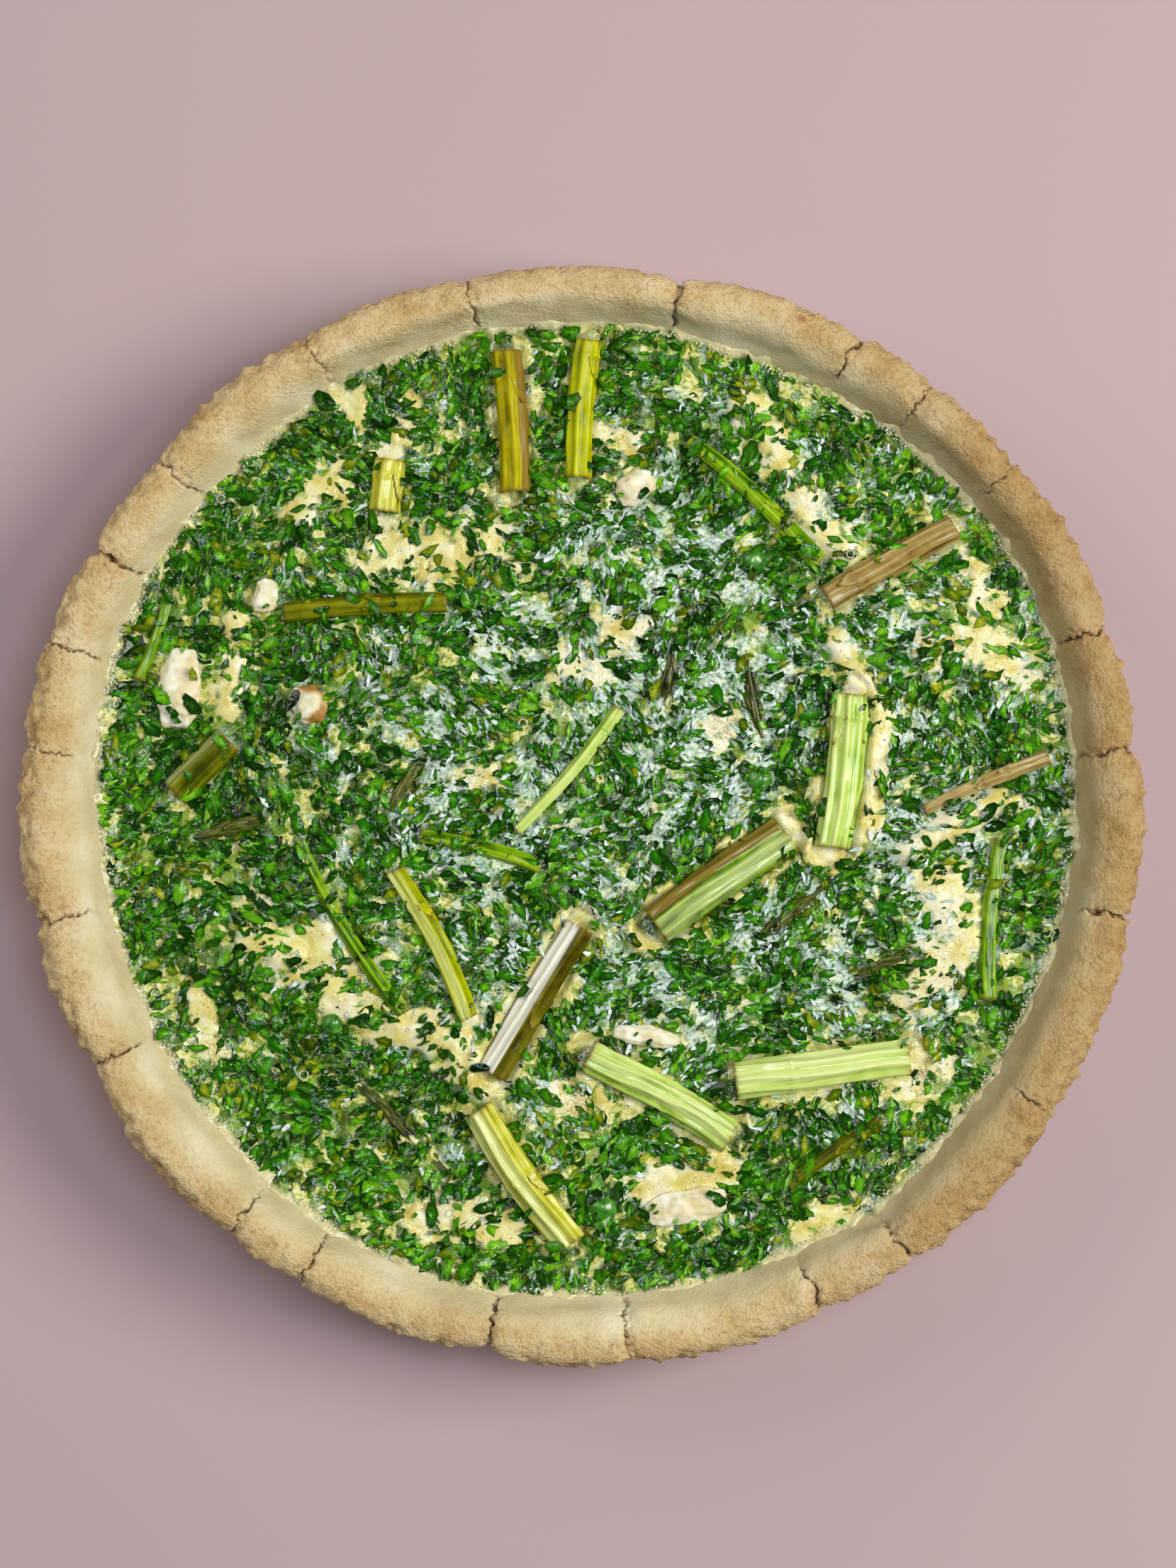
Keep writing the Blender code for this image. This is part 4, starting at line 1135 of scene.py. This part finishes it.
def build_herbs():
    """Some ten thousand chopped leaves, thick on the custard and sparse on its plain patches."""
    draw = np.random.RandomState(8)
    points = strewn(HERB_COUNT, draw)
    edge = wall_share(points)
    plain, _, _ = patch_shares(points)
    bare = smooth((plain - 0.2) / 0.5) * (0.76 + 0.7 * waves(flat(points), 6 * MM, 54)).clip(0, 0.96)
    chance = (0.1 + 0.9 * herb_cover(points)) * (1 - bare)
    chance *= 1 - 0.9 * film_share(points, edge)
    on_top, cover = over_pieces(points)
    chance *= np.where(on_top > 0, cover, 1)
    kept = draw.random_sample(len(points)) < chance
    kept &= free_of_pieces(points, -0.3 * MM) | (on_top > 0)
    points, on_top = points[kept], on_top[kept]
    heights, normals = slope(points)
    heights = np.maximum(heights, on_top)
    count = len(points)
    low, high = HERB_SIZES
    sizes = (low + (high - low) * draw.random_sample(count) ** 1.5) * MM
    points[:, 2] = heights + draw.normal(0.17, 0.16, count).clip(-0.15, 0.55) * MM
    off_middle = np.linalg.norm(points[:, :2], axis=1) / (120 * MM)
    mood = 0.48 + 0.6 * waves(flat(points), 8 * MM, 53) + 0.25 * off_middle**3
    tones = np.clip(0.02 + 0.42 * mood + 0.5 * draw.random_sample(count), 0, 1)
    # leaves under the painted sheen are smaller, and more of them are chives
    sheen_share = milky(points)
    sizes *= 1 - 0.22 * sheen_share
    kind = np.where(draw.random_sample(count) < 0.25 * sheen_share, 0.92, draw.random_sample(count))
    least = 0
    for name, share, leaf, seed, *colours in HERBS:
        of = (kind >= least) & (kind < least + share)
        least += share
        made = wet_herb(name.replace("_", " "), *colours)
        leaves = leaf_templates(leaf, seed)
        scattered(name, leaves, points[of], normals[of], sizes[of], tones[of], 0.17, draw, made)
    build_large_leaves(draw)
    build_sheen_flecks(draw)


def build_sheen_flecks(draw):
    """Pale flecks of painted sheen over and between the leaves, for glints off the wet egg skin, most of
    them where the custard's painted sheen lies.
    """
    points = strewn(SHEEN_FLECK_COUNT, draw)
    plain, _, _ = patch_shares(points)
    chance = (0.03 + 0.85 * milky(points)) * (1 - 0.7 * plain) * (wall_share(points) < 0.985)
    points = points[(draw.random_sample(len(points)) < chance) & free_of_pieces(points, 0.2 * MM)]
    count = len(points)
    sizes = (0.9 + 2.5 * draw.random_sample(count) ** 1.6) * MM
    normals = settle(points, draw.uniform(0.1, 0.6, count))
    tones = draw.uniform(0.2, 0.95, count)
    scattered(
        # painted sheen: pale blue-white flecks for glints off the wet egg skin
        "egg_white_flecks", leaf_templates(SHEEN_FLECK, 67), points, normals, sizes, tones, 0.14, draw,
        wet_herb("set egg white", "88b890", "c8e4d6", "f4fffb"),
    )


def build_large_leaves(draw):
    """The larger torn leaves that stand out among the fine ones."""
    points = strewn(LARGE_COUNT, draw)
    plain, _, _ = patch_shares(points)
    points = points[(wall_share(points) < 0.96) & (plain < 0.4) & free_of_pieces(points, 1.2 * MM)]
    count = len(points)
    sizes = draw.uniform(4.0, 6.2, count) * MM
    normals = settle(points, draw.uniform(0.2, 0.6, count))
    tones = draw.uniform(0.1, 0.9, count)
    scattered(
        "parsley_large", leaf_templates(TORN_LEAF, 65), points, normals, sizes, tones, 0.13, draw,
        wet_herb("parsley leaf", "0a4000", "267a02", "68b018"),
    )


PEPPER_COUNT = 200
FOAM_BEADS = 3600
BUBBLE_COUNT = 260
# Places in the middle where foam was left, as X, Y and reach in mm
FOAM_PATCHES = [
    (35, 22, 3.2), (-2, -72, 4.0), (-27, 10, 3.0), (86, -66, 4.5), (60, -2, 2.5), (9, -20, 3.0),
    (-93, -60, 3.5), (-66, -12, 2.5), (96, 60, 4.0), (-38, 97, 3.0), (44, -38, 2.5),
]


def build_pepper(material):
    """Specks of cracked pepper over the filling."""
    draw = np.random.RandomState(17)
    points = strewn(PEPPER_COUNT, draw)
    points = points[(wall_share(points) < 0.97) & free_of_pieces(points, 0.5 * MM)]
    normals = settle(points, 0.25)
    sizes = draw.uniform(0.3, 0.9, len(points)) * MM
    tones = np.zeros(len(points))
    scattered("black_pepper", [bead(0.3)], points, normals, sizes, tones, 0.5, draw, material)


def bead(unevenness):
    """A small round shape one unit across."""
    shape = bmesh.new()
    bmesh.ops.create_icosphere(shape, subdivisions=1, radius=0.5)
    for vert in shape.verts:
        vert.co *= 1 + unevenness * noise.noise(vert.co * 5)
    return template(shape)


def build_foam(material):
    """Beads of egg foam, dried on along the wall and left on a few places in the middle."""
    draw = np.random.RandomState(19)
    turn = draw.uniform(-math.pi, math.pi, FOAM_BEADS)
    points = headings(turn)
    inward = np.abs(draw.normal(0, 0.9, FOAM_BEADS)) * MM + 0.15 * MM
    points *= (wall_radius(points) - inward)[:, None]
    often = 0.5 + 1.1 * waves(flat(points), 16 * MM, 91)
    points = points[draw.random_sample(FOAM_BEADS) < often]
    for x, y, reach in FOAM_PATCHES:
        beads = draw.normal(0, reach / 2, (int(6 * reach * reach), 2)) + (x, y)
        points = np.vstack([points, np.column_stack([beads, np.zeros(len(beads))]) * (MM, MM, 1)])
    points = points[free_of_pieces(points, 0.2 * MM)]
    normals = settle(points, 0.2 + 0.5 * film_share(points, wall_share(points)))
    sizes = draw.uniform(0.25, 0.75, len(points)) ** 1.2 * MM
    tones = np.full(len(points), 0.5)
    scattered("egg_foam", [bead(0.2)], points, normals, sizes, tones, 0.3, draw, material)


def build_bubbles(material):
    """Burst bubbles in the custard's skin: thin rings of set egg."""
    draw = np.random.RandomState(23)
    shape = bmesh.new()
    upright = Matrix.Translation((0.43, 0, 0)) @ Matrix.Rotation(math.pi / 2, 4, "X")
    bmesh.ops.create_circle(shape, segments=5, radius=0.07, matrix=upright)
    whole = 2 * math.pi
    bmesh.ops.spin(shape, geom=shape.edges[:], angle=whole, steps=12, axis=(0, 0, 1), use_merge=True)
    ring = template(shape)
    points = strewn(BUBBLE_COUNT, draw)
    points = points[free_of_pieces(points, 0.8 * MM)]
    normals = settle(points, 0.3)
    sizes = (0.8 + 1.9 * draw.random_sample(len(points)) ** 2) * MM
    tones = np.full(len(points), 0.5)
    scattered("bubble_rings", [ring], points, normals, sizes, tones, 0.1, draw, material)


# Asparagus

AROUND = 64
ROW_LENGTH = 0.8 * MM
SEAM = 0.004 * MM  # the skin's two edges meet, and are merged within this
CUT_PLANE = 0.62  # how far out a lengthwise cut or a paler flank starts, 1 at its middle
BUD_LENGTH = 0.8  # in widths of the stalk
TIP_BUDS = 18
# Painted light and shade: how light each facet is painted
FACETS = np.random.RandomState(31).uniform(0, 1, 64)  # how light each facet is


def along_line(line, share):
    """Middle line and half-widths at each share of the way along."""
    ends = np.linspace(0, 1, RINGS)
    bend = [np.polyval(np.polyfit(ends, line.centres[:, axis], 2), share) for axis in range(3)]
    return (
        np.column_stack(bend),
        np.interp(share, ends, line.wide),
        np.interp(share, ends, line.high),
    )


def flank(turn, side, uneven):
    """1 on the flank of a stalk that faces a side, if it has one, and 0 elsewhere."""
    if side is None:
        return np.zeros(len(turn))
    return smooth((np.cos(turn - math.radians(side)) - CUT_PLANE + 0.12 * uneven) / 0.12)


def on_stalk(line, share, turn, lift, dressing, seed):
    """Points on the skin: share along, turn round from the top, and lift above the skin."""
    centre, wide, high = along_line(line, share)
    length = length_of(line)
    across = np.array([-line.axis[1], line.axis[0], 0])
    mm_along = share * length / MM
    level = np.zeros(len(share))
    ring = np.column_stack([np.cos(turn) * 3, np.sin(turn) * 3, mm_along / 9])
    wrinkle = waves(ring, 1.0, seed)
    fine = waves(ring * np.array([3, 3, 1.2]), 1.0, seed + 1)
    # Hollow facets that meet in sharp ribs, winding a little round the stalk
    wound = turn + seed + 0.5 * waves(np.column_stack([mm_along / 25, level, level]), 1.0, seed + 2)
    ribs = 1 - np.abs(np.sin(dressing.ribs * wound / 2))
    push = dressing.depth * (ribs - 0.45) + 0.2 * wrinkle + 0.09 * fine
    for at, _ in dressing.buds:
        push += 0.3 * np.exp(-((mm_along - at * length / MM) ** 2) / 0.35)
    reach = push * MM + lift - 0.03 * wide
    cut = level
    if dressing.cut is not None:
        toward = np.cos(turn - math.radians(dressing.cut))
        cut = smooth((toward - CUT_PLANE) / 0.06)
        reach = reach - cut * wide * (1 - CUT_PLANE / np.maximum(toward, CUT_PLANE)) * 0.9
    out = np.sin(turn)[:, None] * across * (wide + reach)[:, None]
    place = centre + out
    place[:, 2] += np.cos(turn) * (high + reach)
    grain = np.column_stack([np.sin(turn) * wide / MM, np.cos(turn) * high / MM, mm_along + seed * 40])
    facet = FACETS[np.floor(dressing.ribs * wound / (2 * math.pi)).astype(int) % len(FACETS)]
    pale = flank(turn, dressing.pale, wrinkle)
    ends = np.minimum(mm_along, length / MM - mm_along)
    singe = np.exp(-ends / 0.6) * smooth(0.6 + 0.9 * wrinkle)
    singe = np.maximum(singe, 0.85 * flank(turn, dressing.tan, wrinkle))
    # the facet and rib values go to the colour as painted light and shade
    looks = {"grain": grain, "cut": cut, "ridge": ribs, "facet": facet, "pale": pale, "singe": singe}
    return place, looks


def add_bud(shape, line, dressing, share, side, seed, reach=1.0):
    """A papery bud scale: a torn blade wrapped on the stalk, its point lifted a little."""
    length = length_of(line)
    width = line.wide.max()
    bud = bmesh.new()
    bmesh.ops.create_grid(bud, x_segments=8, y_segments=12, size=1)
    square = places_of(bud)
    onward = (square[:, 1] + 1) / 2
    torn = waves(np.column_stack([square[:, 0] * 2, onward * 2, onward * 0 + seed]), 0.45)
    taper = (1 - onward**1.8) * (0.62 + 0.16 * torn) + 0.05
    turn = math.radians(side) + square[:, 0] * taper / reach
    run = share + (onward + 0.12 * torn * (onward > 0.5)) * BUD_LENGTH * reach * 2 * width / length
    lift = (0.05 + 0.25 * onward**2 + 0.1 * torn) * MM
    place, looks = on_stalk(line, np.clip(run, 0.01, 0.99), turn, lift, dressing, seed)
    move_to(bud, place)
    papery = 0.2 + 0.8 * np.maximum(onward**3, np.abs(square[:, 0]) ** 5)
    set_layers(bud, **looks, bud=papery)
    bmesh.ops.solidify(bud, geom=bud.faces, thickness=0.16 * MM)
    join_into(shape, bud)


def join_into(shape, other):
    """Adds another bmesh, with its layers, to the shape."""
    mesh = mesh_from("joining", other)
    shape.from_mesh(mesh)
    bpy.data.meshes.remove(mesh)


def build_stalk(line, dressing, material, seed, buds):
    """A stretch of asparagus: ribbed skin closed by its cut ends, with its bud scales."""
    length = length_of(line)
    rows = max(16, int(length / ROW_LENGTH))
    shape = bmesh.new()
    bmesh.ops.create_grid(shape, x_segments=rows, y_segments=AROUND, size=1)
    square = places_of(shape)
    share = (square[:, 0] + 1) / 2
    turn = square[:, 1] * math.pi
    place, looks = on_stalk(line, share, turn, np.zeros(len(share)), dressing, seed)
    move_to(shape, place)
    set_layers(shape, **looks, bud=np.zeros(len(share)))
    bmesh.ops.remove_doubles(shape, verts=shape.verts, dist=SEAM)
    rims = [e for e in shape.edges if e.is_boundary]
    ends = bmesh.ops.holes_fill(shape, edges=rims)["faces"]
    for end in ends:
        close_end(shape, end)
    bmesh.ops.recalc_face_normals(shape, faces=shape.faces)
    reach = 1.9 if line.name.startswith("tip") else 1.0
    for number, (at, side) in enumerate(buds):
        add_bud(shape, line, dressing, at, side, seed + number, reach)
    return piece_from(line.name + "_skin", shape, material, line.name)


def close_end(shape, end):
    """Dishes a cut end a little and marks it as cut."""
    cut = shape.verts.layers.float["cut"]
    inward = -end.normal
    for thickness, depth in ((0.35 * MM, 0.05 * MM), (0.9 * MM, 0.3 * MM)):
        bmesh.ops.inset_region(shape, faces=[end], thickness=thickness, depth=0, use_even_offset=False)
        for vert in end.verts:
            vert.co += inward * depth
            vert[cut] = 1


def build_asparagus():
    skins = {}
    draw = random.Random(33)
    for number, line in enumerate(LINES):
        dressing = ASPARAGUS.get(line.name) or Dress(TIP_FINISH, 6, 0.25, [])
        if dressing.finish not in skins:
            skins[dressing.finish] = asparagus_skin(dressing.finish)
        buds = dressing.buds
        if line.name.startswith("tip"):
            buds = [(0.04 + 0.86 * i / TIP_BUDS, draw.uniform(-80, 80)) for i in range(TIP_BUDS)]
        build_stalk(line, dressing, skins[dressing.finish], 3 * number + 1, buds)


# Cheese and peas


def build_cheese(name, material):
    """A torn lump of cheese: the solid rounded off, then pulled into soft fibres and toasted."""
    shape = copy_of(name)
    bmesh.ops.join_triangles(shape, faces=shape.faces, angle_face_threshold=0.3, angle_shape_threshold=1.0)
    bmesh.ops.subdivide_edges(shape, edges=shape.edges, cuts=2, use_grid_fill=True)
    shape = rounded(shape, 3)
    shape.normal_update()
    places = places_of(shape)
    fibres = waves(places * np.array([0.25, 1, 1]), 1.5 * MM, 74)
    torn = 0.55 * waves(places, 5 * MM, 71) + 0.25 * waves(places, 1.8 * MM, 72) + 0.25 * fibres - 0.1
    pushed_out(shape, torn)
    low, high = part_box(name)
    above = (places[:, 2] - low.z) / (high.z - low.z)
    toasted = 1.0 if name == "cheese_browned" else 0.45
    patchy = smooth((waves(places, 7 * MM, 73) + 0.1) / 0.4)
    set_layers(shape, brown=toasted * patchy * smooth((above - 0.4) / 0.4))
    return piece_from(name + "_curd", shape, material, name)


def build_pea(name, material):
    """A pea: a sphere with a slightly puckered skin."""
    shape = rounded(copy_of(name), 2)
    shape.normal_update()
    places = places_of(shape)
    pushed_out(shape, 0.16 * waves(places, 2.6 * MM, 75) + 0.05 * waves(places, 1.1 * MM, 76))
    return piece_from(name + "_skin", shape, material, name)


# Floor, light and camera

PHOTO_SIZE = (1659, 2212)
PHOTO_SCALE = 0.1763 * MM  # size of a pixel of the photograph at the rim
CAMERA_DISTANCE = 0.95
CAMERA_ELEVATION = math.radians(89)
CAMERA_TARGET = Vector((1.0 * MM, 7.2 * MM, 34 * MM))
SENSOR = 36.0
FLOOR_REACH = 2.5
# Soft lights as name, place, size across in metres, power in watts and colour
LIGHTS = [
    ("window", (1.06, 0.12, 1.06), 0.8, 19.5, "fffaf0"),
    ("overhead", (0.15, 0.04, 1.12), 0.34, 3.6, "e2eeff"),
    ("fill", (-0.95, 0.55, 0.8), 1.0, 6.5, "fff8f0"),
]


def build_stage():
    shape = bmesh.new()
    bmesh.ops.create_grid(shape, x_segments=1, y_segments=1, size=FLOOR_REACH)
    mesh = mesh_from("floor", shape)
    floor = add_object("floor", mesh)
    board = {"Base Color": linear("bba5a8"), "Roughness": 0.9, "Specular IOR Level": 0.2}
    mesh.materials.append(new_material("pale matt board", board)[0])


def add_light(name, place, size, power, colour):
    data = bpy.data.lights.new(name, "AREA")
    data.shape = "DISK"
    data.size = size
    data.energy = power
    data.color = linear(colour)[:3]
    light = add_object(name, data)
    light.location = place
    light.rotation_euler = (-Vector(place)).to_track_quat("-Z", "Y").to_euler()


def build_light():
    for light in LIGHTS:
        add_light(*light)
    world = bpy.data.worlds.new("studio")
    world.use_nodes = True
    back = world.node_tree.nodes["Background"]
    back.inputs["Color"].default_value = linear("f4f2f0")
    back.inputs["Strength"].default_value = 0.13
    bpy.context.scene.world = world
    bpy.context.scene.view_settings.view_transform = "Standard"


def build_camera():
    data = bpy.data.cameras.new("camera")
    data.sensor_width = SENSOR
    half = PHOTO_SIZE[1] * PHOTO_SCALE / 2
    data.lens = SENSOR / 2 * CAMERA_DISTANCE / half
    camera = add_object("camera", data)
    back = Vector((0, -math.cos(CAMERA_ELEVATION), math.sin(CAMERA_ELEVATION)))
    camera.location = CAMERA_TARGET + back * CAMERA_DISTANCE
    camera.rotation_euler = (math.pi / 2 - CAMERA_ELEVATION, 0, 0)
    bpy.context.scene.camera = camera


build_camera()
build_light()
build_stage()
build_pastry(shortcrust())
build_custard(set_custard())
build_herbs()
build_pepper(black_pepper())
foam = egg_foam()
build_foam(foam)
build_bubbles(foam)
build_asparagus()
curd = soft_cheese()
pea = pea_skin()
for lump in LUMPS:
    if lump.startswith("cheese"):
        build_cheese(lump, curd)
    else:
        build_pea(lump, pea)
